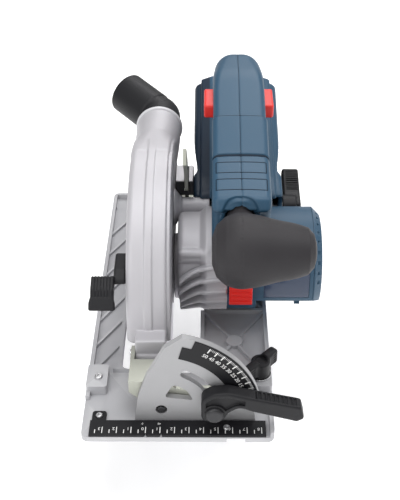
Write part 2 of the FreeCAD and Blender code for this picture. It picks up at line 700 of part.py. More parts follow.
def gear_housing():
    drum = soften(rod("x", (20.0, HOUSING_END), MOTOR, MOTOR_RADIUS), 5.0, "x", [20.0])
    parts = [
        drum,
        disc(26.2, (16.3, 36.6)),
        disc(HUB_RADIUS, (9.6, 17.0)),
        cone("x", (16.3, 22.0), STRUT, 16.0, 9.0),
        rod("x", (16.3, BODY_X[0] + 12.0), STRUT, 6.6),
    ]
    for index in range(5):
        fin = block((22.0, HOUSING_END), (MOTOR[0] + MOTOR_RADIUS - 6, MOTOR[0] + MOTOR_RADIUS + 3.4), (-1.3, 1.3))
        fin.translate(Vec(0, 0, MOTOR[1]))
        parts.append(turned(fin, "x", MOTOR, 157.0 + 11.0 * index))
    ridge = rod("x", (21.0, HANDLE_X[0] - 0.3), polar(MOTOR, MOTOR_RADIUS - 0.5, 136.0), 3.0)
    parts.append(ridge)
    housing = join(parts)
    cavity = [
        disc(24.3, (21.6, 33.8)),
        rod("x", (21.6, 33.8), MOTOR, 9.6),
        rod("x", (42.5, HOUSING_END + 1), MOTOR, MOTOR_RADIUS - 3.2),
        disc(14.0, (13.6, 21.7)),
        disc(8.6, (9.0, 14.0)),
        disc(11.0, (33.5, 41.0)),
        disc(6.6, (40.9, 42.4)),
        rod("x", (33.5, 41.0), MOTOR, 9.0),
        rod("x", (40.9, 43.0), MOTOR, 6.0),
    ]
    for hollow in cavity:
        housing = housing.cut(hollow)
    housing = housing.cut(block((14, 40), (149.2, 180), (86.0, 100.0)))
    return housing.cut(block((STRIP_X[0] - 0.6, STRIP_X[1] + 0.6), (161.0, 200), (0, 100)))


def bearing_cover():
    cover = ring("x", (8.6, 9.5), ARBOR, 21.8, 12.0)
    for index in range(3):
        cover = cover.cut(rod("x", (8, 10), polar(ARBOR, 16.5, 120 * index + 30), 1.3))
    return cover


def cover_screws():
    screws = []
    for index in range(3):
        screws.append(rod("x", (8.2, 9.6), polar(ARBOR, 16.5, 120 * index + 30), 1.3))
    return group(screws)


# ---- motor housing ----
BUTTON_X = (58.5, 75.5)
BUTTON_Z = (42.5, 58.0)
BUTTON_FRONT = 70.0


def beyond_flat(x, distance):
    """Everything past the flat at the motor's lower front, at this distance from its axis."""
    far = block(x, (MOTOR[0] + distance, MOTOR[0] + 80), (MOTOR[1] - 80, MOTOR[1] + 80))
    return turned(far, "x", MOTOR, 233.0)


def motor_housing():
    shell = rod("x", (HOUSING_END + 0.2, MOTOR_END), MOTOR, MOTOR_RADIUS)
    shell = shell.cut(beyond_flat((FLAT_START, 140), MOTOR_FLAT))
    inside = (HOUSING_END - 1, MOTOR_END + 1)
    shell = shell.cut(rod("x", inside, MOTOR, 35.0).cut(beyond_flat((0, 140), MOTOR_FLAT - 2.9)))
    seat = ring("x", (109.0, 118.0), MOTOR, 13.0, 9.0)
    spokes = []
    for index in range(4):
        bar = block((109.0, 113.0), (MOTOR[0] + 12, MOTOR[0] + 36), (MOTOR[1] - 2, MOTOR[1] + 2))
        spokes.append(turned(bar, "x", MOTOR, 90 * index + 45))
    web = ring("x", (106.6, 112.0), MOTOR, 35.5, 26.0).cut(beyond_flat((0, 140), MOTOR_FLAT - 1.0))
    collar = ring("x", (60.0, 64.0), MOTOR, 35.5, 29.5).cut(beyond_flat((0, 140), MOTOR_FLAT - 1.0))
    shell = join([shell, web, collar, seat] + spokes)
    pocket = block((BUTTON_X[0] - 0.3, BUTTON_X[1] + 0.3), (70, 86), (BUTTON_Z[0] - 0.3, BUTTON_Z[1] + 0.3))
    shell = shell.cut(pocket)
    return shell.cut(sector("x", (84.4, 118.1), MOTOR, MOTOR_RADIUS - 0.9, 45, (147.6, 192.4)))


def rating_panel():
    return sector("x", (84.6, 117.9), MOTOR, MOTOR_RADIUS - 0.8, MOTOR_RADIUS, (148, 192))


def motor_end_cap():
    cap = rod("x", (MOTOR_END + 0.2, CAP_END), MOTOR, MOTOR_RADIUS)
    cap = cap.makeChamfer(5.5, [e for e in cap.Edges if abs(e.BoundBox.XMin - CAP_END) < 0.01])
    cap = cap.cut(beyond_flat((100, 140), MOTOR_FLAT))
    hollow = rod("x", (MOTOR_END, CAP_END - 2.8), MOTOR, MOTOR_RADIUS - 6)
    cap = cap.cut(hollow.cut(beyond_flat((100, 140), MOTOR_FLAT - 3.5)))
    for index in range(14):
        notch = block((CAP_END - 3.5, CAP_END + 1), (MOTOR[0] + 35.5, MOTOR[0] + 42), (MOTOR[1] - 1.4, MOTOR[1] + 1.4))
        cap = cap.cut(turned(notch, "x", MOTOR, 12.0 * index + 17.0))
    for spot in CAP_SCREWS:
        cap = cap.cut(rod("x", (MOTOR_END, CAP_END + 1), spot, 2.4))
    for index in range(7):
        level = MOTOR[1] - 21 + 7.0 * index
        half = 0.72 * math.sqrt(MOTOR_RADIUS ** 2 - (level - MOTOR[1]) ** 2)
        for side in (-1, 1):
            y = sorted((MOTOR[0] + side * 3.0, MOTOR[0] + side * half))
            cap = cap.cut(block((CAP_END - 4, CAP_END + 1), y, (level - 1.3, level + 1.3)))
    return cap


CAP_SCREWS = [polar(MOTOR, 29.0, angle) for angle in (62.0, 118.0, 262.0, 298.0)]


def cap_screws():
    return group([rod("x", (CAP_END - 2.8, CAP_END - 0.6), spot, 2.4) for spot in CAP_SCREWS])


def spindle_lock_button():
    z = (BUTTON_Z[0], BUTTON_Z[1])
    button = block(BUTTON_X, (BUTTON_FRONT, 79.0), z)
    for index in range(3):
        low = z[0] + 3.0 + 4.0 * index
        groove = block((BUTTON_X[0] - 1, BUTTON_X[1] + 1), (BUTTON_FRONT - 1, BUTTON_FRONT + 1.2), (low, low + 1.6))
        button = button.cut(groove)
    return button


# ---- handle and rear housing ----
HANDLE_OUTLINE = [
    (72, 80, 0), (71, 124, 6), (60, 131, 4), (66, 141, 6), (112, 147, 120), (150, 157, 120),
    (200, 167.5, 80), (235, 166, 28), (265, 149, 26), (284, 118, 20), (286, 96, 0), (240, 96, 0),
    (160, 80, 0),
]
GRIP_HOLE = [
    (132, 100, 10), (134, 118, 10), (158, 126, 20), (205, 136, 30), (234, 136, 16),
    (250, 122, 7), (243, 114, 5), (170, 97, 20),
]
REAR_OUTLINE = [
    (147, 36, 6), (177, 36, 5), (178.5, 86, 3), (291, 86, 4), (293, 112, 8), (282, 123, 8),
    (240, 112, 30), (168, 93, 20), (147, 90, 8),
]
TRIGGER_PIVOT = (147.0, 125.0)


def handle_body():
    """Both handle shells as one piece, before the split along the middle."""
    grip = soften(prism("x", HANDLE_X, HANDLE_OUTLINE), 7.0, "x", HANDLE_X)
    rear = soften(prism("x", BODY_X, REAR_OUTLINE), 5.0, "x", BODY_X)
    inside_grip = shrunk_prism("x", HANDLE_X, HANDLE_OUTLINE, WALL)
    inside_rear = shrunk_prism("x", BODY_X, REAR_OUTLINE, WALL)
    loop_wall = prism("x", HANDLE_X, GRIP_HOLE)
    rim = Part.Face(outline("x", HANDLE_X[0], GRIP_HOLE)).makeOffset2D(WALL)
    rim = rim.extrude(Vec(HANDLE_X[1] - HANDLE_X[0], 0, 0))
    body = grip.fuse(rear)
    hollow = inside_grip.cut(rim).fuse(inside_rear)
    body = body.cut(hollow).cut(loop_wall.cut(rear))
    return body.cut(rod("x", (50, 130), MOTOR, MOTOR_RADIUS + 0.1))


def handle_shell(x):
    bosses = [rod("x", span, TRIGGER_PIVOT, 4.0) for span in ((46.5, 53.6), (78.4, 85.5))]
    body = join([handle_body()] + bosses).common(block(x, (0, 400), (0, 300)))
    cuts = [
        rod("x", (50.0, 82.0), TRIGGER_PIVOT, 1.5 + RUNNING),
        rod("x", (10, 130), STRUT, 6.7),
        rod("x", (10, 130), DEPTH_CLAMP, 4.0 + RUNNING),
        rod("x", (10, HOUSING_END + 0.2), MOTOR, MOTOR_RADIUS + 0.1),
        disc(26.5, (10.0, 37.0)),
        block((54.0, 78.0), (141.0, 180.0), (104.0, 133.0)),
        block((38.0, 94.0), (LOCK_Y[0] - 0.4, LOCK_Y[1] + 0.4), (LOCK_Z[0] - 0.4, LOCK_Z[1] + 0.4)),
        grip_neck(20.0, 11.5).common(block((0, 130), (0, 71), (0, 200))),
        rod("y", (55.0, 80.0), KNOB_STEM, 8.3),
        block((BATTERY_X[0] + 8, BATTERY_X[1] - 8), (185.5, 300.0), (80.0, 90.8)),
    ]
    for shape in cuts:
        body = body.cut(shape)
    solids = sorted(body.Solids, key=lambda solid: -solid.Volume)
    return solids[0]


LOCK_Y = (166.0, 199.0)
LOCK_Z = (141.0, 152.0)
LOCK_PROUD = 6.0
KNOB_STEM = (65.0, 126.0)


def handle_left_shell():
    return handle_shell((0, SPLIT_X - GAP))


def handle_right_shell():
    return handle_shell((SPLIT_X + GAP, 150))


def shell_screws():
    grip = [(78.0, 105.0), (112.0, 136.0), (262.0, 138.0)]
    rear = [(276.0, 104.0), (169.0, 46.0)]
    screws = [rod("x", (SPLIT_X + 3, HANDLE_X[1] - WALL - 0.3), spot, 2.0) for spot in grip]
    screws += [rod("x", (SPLIT_X + 3, BODY_X[1] - WALL - 0.3), spot, 2.0) for spot in rear]
    return group(screws)


def trigger():
    corners = [
        (142.4, 129, 1), (143, 112, 4), (158, 117, 25), (171, 111, 3), (176.0, 120.0, 4), (174, 129, 1),
    ]
    axle = rod("x", (50.2, 81.8), TRIGGER_PIVOT, 1.5)
    return join([prism("x", (56.5, 75.5), corners), axle])


def trigger_switch():
    return block((55.0, 77.0), (146.0, 168.0), (134.5, 140.0))


def lock_off_bar():
    """Two side buttons on one cross bar that runs through the handle."""
    left = block((HANDLE_X[0] - LOCK_PROUD, HANDLE_X[0] + 5), LOCK_Y, LOCK_Z)
    right = block((HANDLE_X[1] - 5, HANDLE_X[1] + LOCK_PROUD), LOCK_Y, LOCK_Z)
    left = soften(left, 1.5, "x", [HANDLE_X[0] - LOCK_PROUD])
    right = soften(right, 1.5, "x", [HANDLE_X[1] + LOCK_PROUD])
    bar = block((HANDLE_X[0] + 4, HANDLE_X[1] - 4), (178.0, 186.0), (143.5, 149.5))
    return join([left, bar, right])


def electronics_board():
    board = block((42.0, 91.0), (182.0, 250.0), (92.0, 93.6))
    pots = [rod("z", (93.6, 100.0), (x, y), 4.0) for x, y in ((54.0, 236.0), (78.0, 236.0))]
    return join([board] + pots)


def battery_terminals():
    frame = block((50.0, 82.0), (186.0, 206.0), (83.5, 90.5))
    for index in range(4):
        low = 53.5 + 7.0 * index
        frame = frame.cut(block((low, low + 4.0), (190.0, 207.0), (83.0, 89.0)))
    return frame


def front_grip():
    """Rubber cross grip: a bulb that tapers to its free end, on a stem."""
    stations = [
        (45.5, 9.0), (48.5, 17.5), (55.0, 23.5), (64.0, 26.0), (76.0, 24.5),
        (90.0, 20.8), (102.0, 18.6), (110.0, 16.0), (114.0, 11.5), (115.6, 6.0),
    ]
    wires = []
    for x, radius in stations:
        circle = Part.Circle(Vec(x, GRIP_CENTRE[0], GRIP_CENTRE[1]), AXES["x"], radius)
        wires.append(Part.Wire([circle.toShape()]))
    bulb = Part.makeLoft(wires, True, False)
    plug = rod("y", (66.0, 79.5), KNOB_STEM, 8.0)
    return join([bulb, grip_neck(15.0, 7.8), plug])


def grip_neck(wide, narrow):
    """Slanted, tapered stem between the grip's bulb and the front of the handle."""
    start = Vec(KNOB_STEM[0], GRIP_CENTRE[0], GRIP_CENTRE[1])
    way = Vec(KNOB_STEM[0], 74.0, KNOB_STEM[1]) - start
    neck = Part.makeCone(wide, narrow, way.Length, start, way)
    return neck.common(block((0, 150), (0, 70.5), (0, 200)))


GRIP_CENTRE = (42.0, 114.0)


# ---- depth clamp ----
def depth_clamp_shaft():
    shank = rod("x", (STRIP_X[0] - 4.0, BODY_X[1] + 3.0), DEPTH_CLAMP, 4.0)
    neck = rod("x", (STRIP_X[0] - 0.3, STRIP_X[1] + 0.3), DEPTH_CLAMP, 4.5)
    shank = shank.cut(neck).fuse(rod("x", (STRIP_X[0] - 0.5, STRIP_X[1] + 0.5), DEPTH_CLAMP, 2.4))
    head = rod("x", (STRIP_X[0] - 4.0, STRIP_X[0] - 0.5), DEPTH_CLAMP, 6.0)
    return join([shank, head])


def depth_clamp_lever():
    x = (BODY_X[1] + 1.0, 117.0)
    hub = rod("x", (x[0], x[1] - 4.0), DEPTH_CLAMP, 9.0)
    corners = [
        (DEPTH_CLAMP[0] - 5, 57, 4), (DEPTH_CLAMP[0] + 12, 57, 6), (206, 62, 3), (209, 70, 3),
        (203, 78, 5), (DEPTH_CLAMP[0] + 10, 72, 6), (DEPTH_CLAMP[0] - 5, 71, 4),
    ]
    arm = soften(prism("x", (103.5, x[1]), corners), 1.5, "x", (103.5, x[1]))
    lever = join([hub, arm])
    return lever.cut(rod("x", (x[0] - 1, BODY_X[1] + 3.0), DEPTH_CLAMP, 4.0))


def depth_strip_guide():
    guide = block((17.4, 31.4), (149.5, 173.0), (86.4, 99.0))
    swing = sector("x", (STRIP_X[0] - 0.4, STRIP_X[1] + 0.4), HINGE, STRIP_RADIUS - 6.5, STRIP_RADIUS + 6.5, (-20, 60))
    guide = guide.cut(swing)
    return sorted(guide.Solids, key=lambda solid: -solid.Volume)[0]


# ---- battery ----
def battery_pack():
    z = (BATTERY_Z[0], BATTERY_Z[1])
    outer = [(BATTERY_Y[0], z[0], 6), (BATTERY_Y[1], z[0], 8), (BATTERY_Y[1], z[1], 5), (BATTERY_Y[0], z[1], 4)]
    pack = soften(prism("x", BATTERY_X, outer), 5.0, "x", BATTERY_X)
    rails = block((BATTERY_X[0] + 8.6, BATTERY_X[1] - 8.6), (208.0, 286.0), (z[1] - 2, 88.2))
    pack = join([pack, rails])
    latch = block((50.5, 82.5), (BATTERY_Y[1] - 9.5, BATTERY_Y[1] + 1), (48.0, 64.0))
    return pack.cut(latch)


def battery_release_button():
    button = block((51.0, 82.0), (BATTERY_Y[1] - 5.6, BATTERY_Y[1] + 1.6), (48.5, 63.5))
    return soften(button, 1.5, "y", [BATTERY_Y[1] + 1.6])


NODES = [
    base_plate, ruler_strip, strip_screws, guide_set_screw, bevel_quadrant, quadrant_screws, bevel_scale,
    rear_bevel_bracket, guide_wing_screw, guide_washer, bevel_bracket, hinge_pin, hinge_circlip,
    bevel_pivot_bolts, rear_tilt_bracket, strip_rivets, depth_strip, bevel_clamp_lever, bevel_clamp_bolt,
    bevel_clamp_washer, upper_guard, duct_collar, dust_elbow, lower_guard, guard_finger_lever, blade,
    outer_flange, inner_flange, blade_bolt, spindle, spindle_gear, spindle_bearings, motor_bearings,
    pinion_shaft, rotor, stator, fan, gear_housing, bearing_cover, cover_screws, motor_housing,
    rating_panel, motor_end_cap, cap_screws, spindle_lock_button, handle_left_shell, handle_right_shell,
    shell_screws, trigger, trigger_switch, lock_off_bar, electronics_board, battery_terminals, front_grip,
    depth_clamp_shaft, depth_clamp_lever, depth_strip_guide, battery_pack, battery_release_button,
]

os.makedirs("parts", exist_ok=True)
for make in NODES:
    shape = make()
    print(make.__name__, "solids", len(shape.Solids), "valid", shape.isValid(), "volume", round(shape.Volume))
    shape.exportStep("parts/" + make.__name__ + ".step")
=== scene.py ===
import json
import math

import bmesh
import bpy
import numpy as np
from mathutils import Matrix, Vector


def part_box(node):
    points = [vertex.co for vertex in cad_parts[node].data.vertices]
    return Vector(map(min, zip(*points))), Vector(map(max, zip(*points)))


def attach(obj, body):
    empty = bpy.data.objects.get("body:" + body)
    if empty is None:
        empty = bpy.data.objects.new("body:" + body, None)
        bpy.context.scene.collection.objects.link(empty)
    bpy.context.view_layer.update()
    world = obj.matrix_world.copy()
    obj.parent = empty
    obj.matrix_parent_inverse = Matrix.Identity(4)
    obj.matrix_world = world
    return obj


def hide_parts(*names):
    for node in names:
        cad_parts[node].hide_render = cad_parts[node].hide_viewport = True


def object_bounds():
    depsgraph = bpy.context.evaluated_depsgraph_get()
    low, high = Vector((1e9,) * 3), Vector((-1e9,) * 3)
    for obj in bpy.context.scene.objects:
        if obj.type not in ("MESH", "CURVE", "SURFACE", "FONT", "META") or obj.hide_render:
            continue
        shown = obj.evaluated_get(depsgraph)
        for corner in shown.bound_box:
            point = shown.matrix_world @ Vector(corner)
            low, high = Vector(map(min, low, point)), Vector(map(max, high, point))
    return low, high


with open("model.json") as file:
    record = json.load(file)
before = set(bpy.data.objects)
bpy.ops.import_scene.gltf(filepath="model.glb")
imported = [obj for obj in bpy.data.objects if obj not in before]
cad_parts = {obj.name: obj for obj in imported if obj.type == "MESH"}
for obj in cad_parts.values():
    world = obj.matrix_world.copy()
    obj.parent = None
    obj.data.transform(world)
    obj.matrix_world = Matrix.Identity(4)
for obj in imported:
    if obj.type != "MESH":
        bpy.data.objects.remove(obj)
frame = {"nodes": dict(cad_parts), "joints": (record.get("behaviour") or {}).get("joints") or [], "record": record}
CAD_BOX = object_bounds()
MM = 0.001


# ---- camera, floor and light
def studio():
    """The photograph's viewing angle, a pale floor under the lowest point and soft light."""
    yaw, pitch, roll = math.radians(-0.742), math.radians(37.225), math.radians(-0.352)
    forward = Vector((math.sin(yaw) * math.cos(pitch), math.cos(yaw) * math.cos(pitch), -math.sin(pitch)))
    side = Vector((math.cos(yaw), -math.sin(yaw), 0.0))
    upward = side.cross(forward)
    right = side * math.cos(roll) + upward * math.sin(roll)
    up = right.cross(forward)
    camera = bpy.data.objects.new("camera", bpy.data.cameras.new("camera"))
    camera.data.lens = 68.56
    camera.data.clip_start = 0.01
    camera.matrix_world = Matrix((
        (right.x, up.x, -forward.x, 0.04412),
        (right.y, up.y, -forward.y, -0.46656),
        (right.z, up.z, -forward.z, 0.50124),
        (0.0, 0.0, 0.0, 1.0),
    ))
    bpy.context.scene.collection.objects.link(camera)
    bpy.context.scene.camera = camera

    floor_z = CAD_BOX[0][2] - 0.0005
    bpy.ops.mesh.primitive_plane_add(size=8.0, location=(0.0, 0.0, floor_z))
    floor = bpy.context.object
    floor.name = "floor"
    paper = plain("floor_white", (0.93, 0.93, 0.93), 0.9)
    paper.node_tree.nodes["Principled BSDF"].inputs["Emission Color"].default_value = (1.0, 1.0, 1.0, 1.0)
    paper.node_tree.nodes["Principled BSDF"].inputs["Emission Strength"].default_value = 0.35
    floor.data.materials.append(paper)

    area("key_light", (-0.75, -0.75, 0.95), (0.03, 0.1, 0.05), 0.8, 7.0)
    area("right_light", (0.9, 0.25, 1.0), (0.05, 0.12, 0.05), 0.7, 5.0)
    area("back_light", (0.2, 1.1, 1.0), (0.03, 0.15, 0.08), 0.7, 6.0)
    area("top_light", (0.1, 0.05, 1.5), (0.03, 0.12, 0.05), 0.9, 11.0)
    area("front_light", (-0.1, -1.3, 0.3), (0.03, 0.0, 0.05), 0.8, 3.0)
    world = bpy.data.worlds.new("world")
    world.use_nodes = True
    background = world.node_tree.nodes["Background"]
    background.inputs["Color"].default_value = (1.0, 1.0, 1.0, 1.0)
    background.inputs["Strength"].default_value = 0.34
    bpy.context.scene.world = world
    bpy.context.scene.view_settings.view_transform = "Standard"


def area(name, place, target, size, watts):
    lamp = bpy.data.lights.new(name, "AREA")
    lamp.size = size
    lamp.energy = watts
    holder = bpy.data.objects.new(name, lamp)
    holder.location = place
    holder.rotation_euler = (Vector(target) - Vector(place)).to_track_quat("-Z", "Y").to_euler()
    bpy.context.scene.collection.objects.link(holder)


# ---- materials
def plain(name, colour, roughness):
    made = bpy.data.materials.new(name)
    made.use_nodes = True
    shader = made.node_tree.nodes["Principled BSDF"]
    shader.inputs["Base Color"].default_value = (*colour, 1.0)
    shader.inputs["Roughness"].default_value = roughness
    return made


def finish(name, colour, metallic=0.0, roughness=0.5, spread=0.08, mottle=0.06, mottle_scale=60.0,
           grain=0.0, grain_scale=1500.0, stretch=(1.0, 1.0, 1.0), wear=0.0, wear_colour=None, coat=0.0,
           specular=0.5, shade=None):
    """A procedural finish: mottled colour, uneven roughness, fine grain and paler worn edges.

    The last argument, (from_x, to_x, colour) in metres, is a painted shade: beyond to_x the part's colour turns to
    that darker colour.
    """
    made = bpy.data.materials.new(name)
    made.use_nodes = True
    nodes, links = made.node_tree.nodes, made.node_tree.links
    shader = nodes["Principled BSDF"]
    shader.inputs["Metallic"].default_value = metallic
    shader.inputs["Coat Weight"].default_value = coat
    shader.inputs["Specular IOR Level"].default_value = specular
    where = nodes.new("ShaderNodeTexCoord")
    mapping = nodes.new("ShaderNodeMapping")
    mapping.inputs["Scale"].default_value = stretch
    links.new(where.outputs["Object"], mapping.inputs["Vector"])

    cloud = nodes.new("ShaderNodeTexNoise")
    cloud.inputs["Scale"].default_value = mottle_scale
    cloud.inputs["Detail"].default_value = 6.0
    links.new(mapping.outputs["Vector"], cloud.inputs["Vector"])
    tint = nodes.new("ShaderNodeMix")
    tint.data_type = "RGBA"
    tint.inputs["A"].default_value = (*[c * (1.0 - mottle) for c in colour], 1.0)
    tint.inputs["B"].default_value = (*[min(c * (1.0 + mottle), 1.0) for c in colour], 1.0)
    links.new(cloud.outputs["Fac"], tint.inputs["Factor"])
    last = tint.outputs["Result"]
    # painted shade: past to_x the colour mixes into a darker one, set by position along x
    if shade:
        axes = nodes.new("ShaderNodeSeparateXYZ")
        links.new(where.outputs["Object"], axes.inputs["Vector"])
        side = nodes.new("ShaderNodeMapRange")
        side.inputs["From Min"].default_value = shade[0]
        side.inputs["From Max"].default_value = shade[1]
        links.new(axes.outputs["X"], side.inputs["Value"])
        painted_shade_mix = nodes.new("ShaderNodeMix")
        painted_shade_mix.data_type = "RGBA"
        painted_shade_mix.inputs["B"].default_value = (*shade[2], 1.0)
        links.new(side.outputs["Result"], painted_shade_mix.inputs["Factor"])
        links.new(last, painted_shade_mix.inputs["A"])
        last = painted_shade_mix.outputs["Result"]
    if wear:
        edge = nodes.new("ShaderNodeNewGeometry")
        band = nodes.new("ShaderNodeMapRange")
        band.inputs["From Min"].default_value = 0.53
        band.inputs["From Max"].default_value = 0.60
        band.inputs["To Max"].default_value = wear
        links.new(edge.outputs["Pointiness"], band.inputs["Value"])
        worn = nodes.new("ShaderNodeMix")
        worn.data_type = "RGBA"
        worn.inputs["B"].default_value = (*(wear_colour or [min(c * 1.8, 1.0) for c in colour]), 1.0)
        links.new(band.outputs["Result"], worn.inputs["Factor"])
        links.new(last, worn.inputs["A"])
        last = worn.outputs["Result"]
    links.new(last, shader.inputs["Base Color"])

    uneven = nodes.new("ShaderNodeMapRange")
    uneven.inputs["To Min"].default_value = max(roughness - spread, 0.02)
    uneven.inputs["To Max"].default_value = min(roughness + spread, 1.0)
    links.new(cloud.outputs["Fac"], uneven.inputs["Value"])
    links.new(uneven.outputs["Result"], shader.inputs["Roughness"])
    if grain:
        fine = nodes.new("ShaderNodeTexNoise")
        fine.inputs["Scale"].default_value = grain_scale
        fine.inputs["Detail"].default_value = 3.0
        links.new(mapping.outputs["Vector"], fine.inputs["Vector"])
        bump = nodes.new("ShaderNodeBump")
        bump.inputs["Strength"].default_value = grain
        bump.inputs["Distance"].default_value = 0.0003
        links.new(fine.outputs["Fac"], bump.inputs["Height"])
        links.new(bump.outputs["Normal"], shader.inputs["Normal"])
    return made


def palette():
    """One finish per material slot of the record, and a few looks of single pieces and painted marks.

    The numbers: colour, metallic, roughness and its spread, mottle and its scale, grain and its scale.
    """
    return {
        "cast_alloy": finish(
            "cast_alloy_blasted", (0.50, 0.49, 0.515), 0.25, 0.50, 0.06, 0.05, 45.0, 0.35, 2600.0,
            wear=0.25, wear_colour=(0.75, 0.75, 0.76)),
        "base_alloy": finish(
            "base_alloy_blasted", (0.47, 0.47, 0.49), 0.2, 0.52, 0.06, 0.07, 40.0, 0.40, 2400.0,
            wear=0.35, wear_colour=(0.66, 0.66, 0.67)),
        "collar_plastic": finish(
            "collar_plastic", (0.62, 0.62, 0.64), 0.0, 0.35, 0.05, 0.04, 60.0, 0.08, 1500.0),
        "bright_alloy": finish(
            "machined_alloy", (0.40, 0.40, 0.41), 0.25, 0.50, 0.06, 0.05, 70.0, 0.30, 2200.0),
        "zinc_steel": finish("zinc_plate", (0.47, 0.48, 0.42), 0.6, 0.38, 0.10, 0.14, 35.0, 0.12, 900.0),
        "steel": finish("turned_steel", (0.60, 0.60, 0.61), 0.95, 0.28, 0.08, 0.06, 90.0, 0.10, 3000.0),
        "shaft_steel": finish("dull_steel", (0.46, 0.46, 0.47), 0.9, 0.38, 0.08, 0.08, 90.0, 0.10, 3000.0),
        "blade_steel": finish("ground_steel", (0.60, 0.60, 0.62), 0.95, 0.30, 0.08, 0.05, 60.0, 0.2, 2500.0,
            stretch=(1.0, 1.0, 0.15)),
        "lower_guard_alloy": finish(
            "satin_alloy", (0.62, 0.61, 0.66), 0.7, 0.40, 0.06, 0.06, 50.0, 0.15, 2000.0),
        # the darker colour left of x = 43.5 mm is painted shade on the rear housing's left side
        "blue_plastic": finish(
            "petrol_plastic", (0.024, 0.074, 0.130), 0.0, 0.46, 0.05, 0.05, 30.0, 0.22, 2400.0,
            wear=0.3, wear_colour=(0.09, 0.17, 0.25), specular=0.4,
            shade=(0.0445, 0.0435, (0.008, 0.020, 0.040))),
        "navy_panel": finish("navy_film", (0.015, 0.035, 0.085), 0.0, 0.25, 0.04, 0.04, 40.0, 0.03, 900.0,
            coat=0.3),
        "black_plastic": finish(
            "black_plastic", (0.011, 0.011, 0.013), 0.0, 0.50, 0.06, 0.12, 50.0, 0.3, 2200.0,
            wear=0.35, wear_colour=(0.035, 0.035, 0.038), specular=0.3),
        "scale_black": finish(
            "anodised_black", (0.010, 0.010, 0.012), 0.0, 0.42, 0.06, 0.10, 80.0, 0.08, 2500.0,
            specular=0.25),
        "rubber_grip": finish(
            "grip_rubber", (0.026, 0.024, 0.027), 0.0, 0.60, 0.06, 0.10, 60.0, 0.45, 1800.0,
            specular=0.35),
        "red_plastic": finish(
            "signal_red", (0.78, 0.022, 0.016), 0.0, 0.38, 0.05, 0.05, 60.0, 0.12, 1500.0),
        "motor_iron": finish("laminated_iron", (0.20, 0.20, 0.21), 0.8, 0.5, 0.1, 0.15, 60.0, 0.3, 600.0,
            stretch=(30.0, 1.0, 1.0)),
        "board_green": finish("board_green", (0.02, 0.16, 0.06), 0.0, 0.35, 0.05, 0.10, 200.0, 0.1, 900.0),
        "black_oxide": finish(
            "black_oxide", (0.045, 0.045, 0.048), 0.6, 0.42, 0.08, 0.10, 90.0, 0.15, 2500.0),
        # navy for the grip's frames and seam, and for the painted shade in the step groove and the painted shadow
        # along the step
        "navy_lines_and_painted_shade": finish("navy_lines_and_painted_shade", (0.007, 0.018, 0.034), 0.0, 0.6, 0.05, 0.10, 90.0, 0.1, 2000.0,
            specular=0.25),
        "white_paint": finish("white_paint", (0.85, 0.85, 0.84), 0.0, 0.5, 0.05, 0.03, 200.0, 0.05, 2000.0),
    }


LOOKS = palette()
SLOTS = {entry["node"]: entry["material_slot"] for entry in frame["record"]["subparts"]}
MEMBERS = frame["record"]["behaviour"]["bodies"]
BODIES = {node: body for body, members in MEMBERS.items() for node in members}
# Nodes that look different from the rest of their slot.
OWN_LOOK = {
    "bevel_clamp_bolt": "black_oxide", "base_plate": "base_alloy", "duct_collar": "collar_plastic",
    "bevel_pivot_bolts": "black_oxide",
}


def dress_cad_nodes():
    """Every CAD node gets its slot's finish, also those that a piece below stands for."""
    for node, holder in frame["nodes"].items():
        holder.data.materials.clear()
        holder.data.materials.append(LOOKS[OWN_LOOK.get(node, SLOTS[node])])


# ---- mesh helpers
def add_piece(name, mesh, body, slot, nodes=()):
    """Link a mesh as a piece that rides on a body and may stand for CAD nodes."""
    mesh.materials.clear()
    mesh.materials.append(LOOKS[OWN_LOOK.get(nodes[0], slot) if nodes else slot])
    holder = bpy.data.objects.new(name, mesh)
    bpy.context.scene.collection.objects.link(holder)
    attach(holder, body)
    if nodes:
        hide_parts(*nodes)
    return holder


def crisp_copy(node, width, angle=28.0):
    """The CAD node's own shape with small bevels on its hard edges."""
    mesh = frame["nodes"][node].data.copy()
    mesh.name = node + "_bevelled"
    sheet = bmesh.new()
    sheet.from_mesh(mesh)
    bmesh.ops.remove_doubles(sheet, verts=sheet.verts, dist=0.00002)
    bmesh.ops.dissolve_limit(sheet, angle_limit=math.radians(1.5), verts=sheet.verts, edges=sheet.edges)
    sheet.to_mesh(mesh)
    sheet.free()
    piece = add_piece(node + "_piece", mesh, BODIES[node], SLOTS[node], [node])
    bevel = piece.modifiers.new("bevel", "BEVEL")
    bevel.width = width * MM
    bevel.segments = 2
    bevel.limit_method = "ANGLE"
    bevel.angle_limit = math.radians(angle)
    bevel.harden_normals = True
    bevel.use_clamp_overlap = True
    for face in mesh.polygons:
        face.use_smooth = True
    mesh.set_sharp_from_angle(angle=math.radians(35.0))
    return piece


CRISP = {
    "base_plate": 0.5, "ruler_strip": 0.25, "bevel_quadrant": 0.45, "rear_bevel_bracket": 0.4,
    "bevel_bracket": 0.4, "rear_tilt_bracket": 0.4, "depth_strip": 0.3,
    "depth_strip_guide": 0.8, "motor_housing": 0.5, "lower_guard": 0.3, "battery_pack": 0.8,
    "rating_panel": 0.2, "spindle_lock_button": 0.5, "battery_release_button": 0.4,
    "motor_end_cap": 0.5, "bevel_clamp_washer": 0.3, "guide_washer": 0.3, "hinge_pin": 0.5,
    "blade_bolt": 0.4, "outer_flange": 0.4, "trigger": 1.2,
}


# ---- solids from distance fields (mm)
def length(*parts):
    return np.sqrt(sum(part * part for part in parts))


def blend_union(a, b, reach):
    h = np.clip(0.5 + 0.5 * (b - a) / reach, 0.0, 1.0)
    return b + (a - b) * h - reach * h * (1.0 - h)


def blend_cut(a, b, reach):
    """a without b, with a rounded edge."""
    return -blend_union(-a, b, reach)


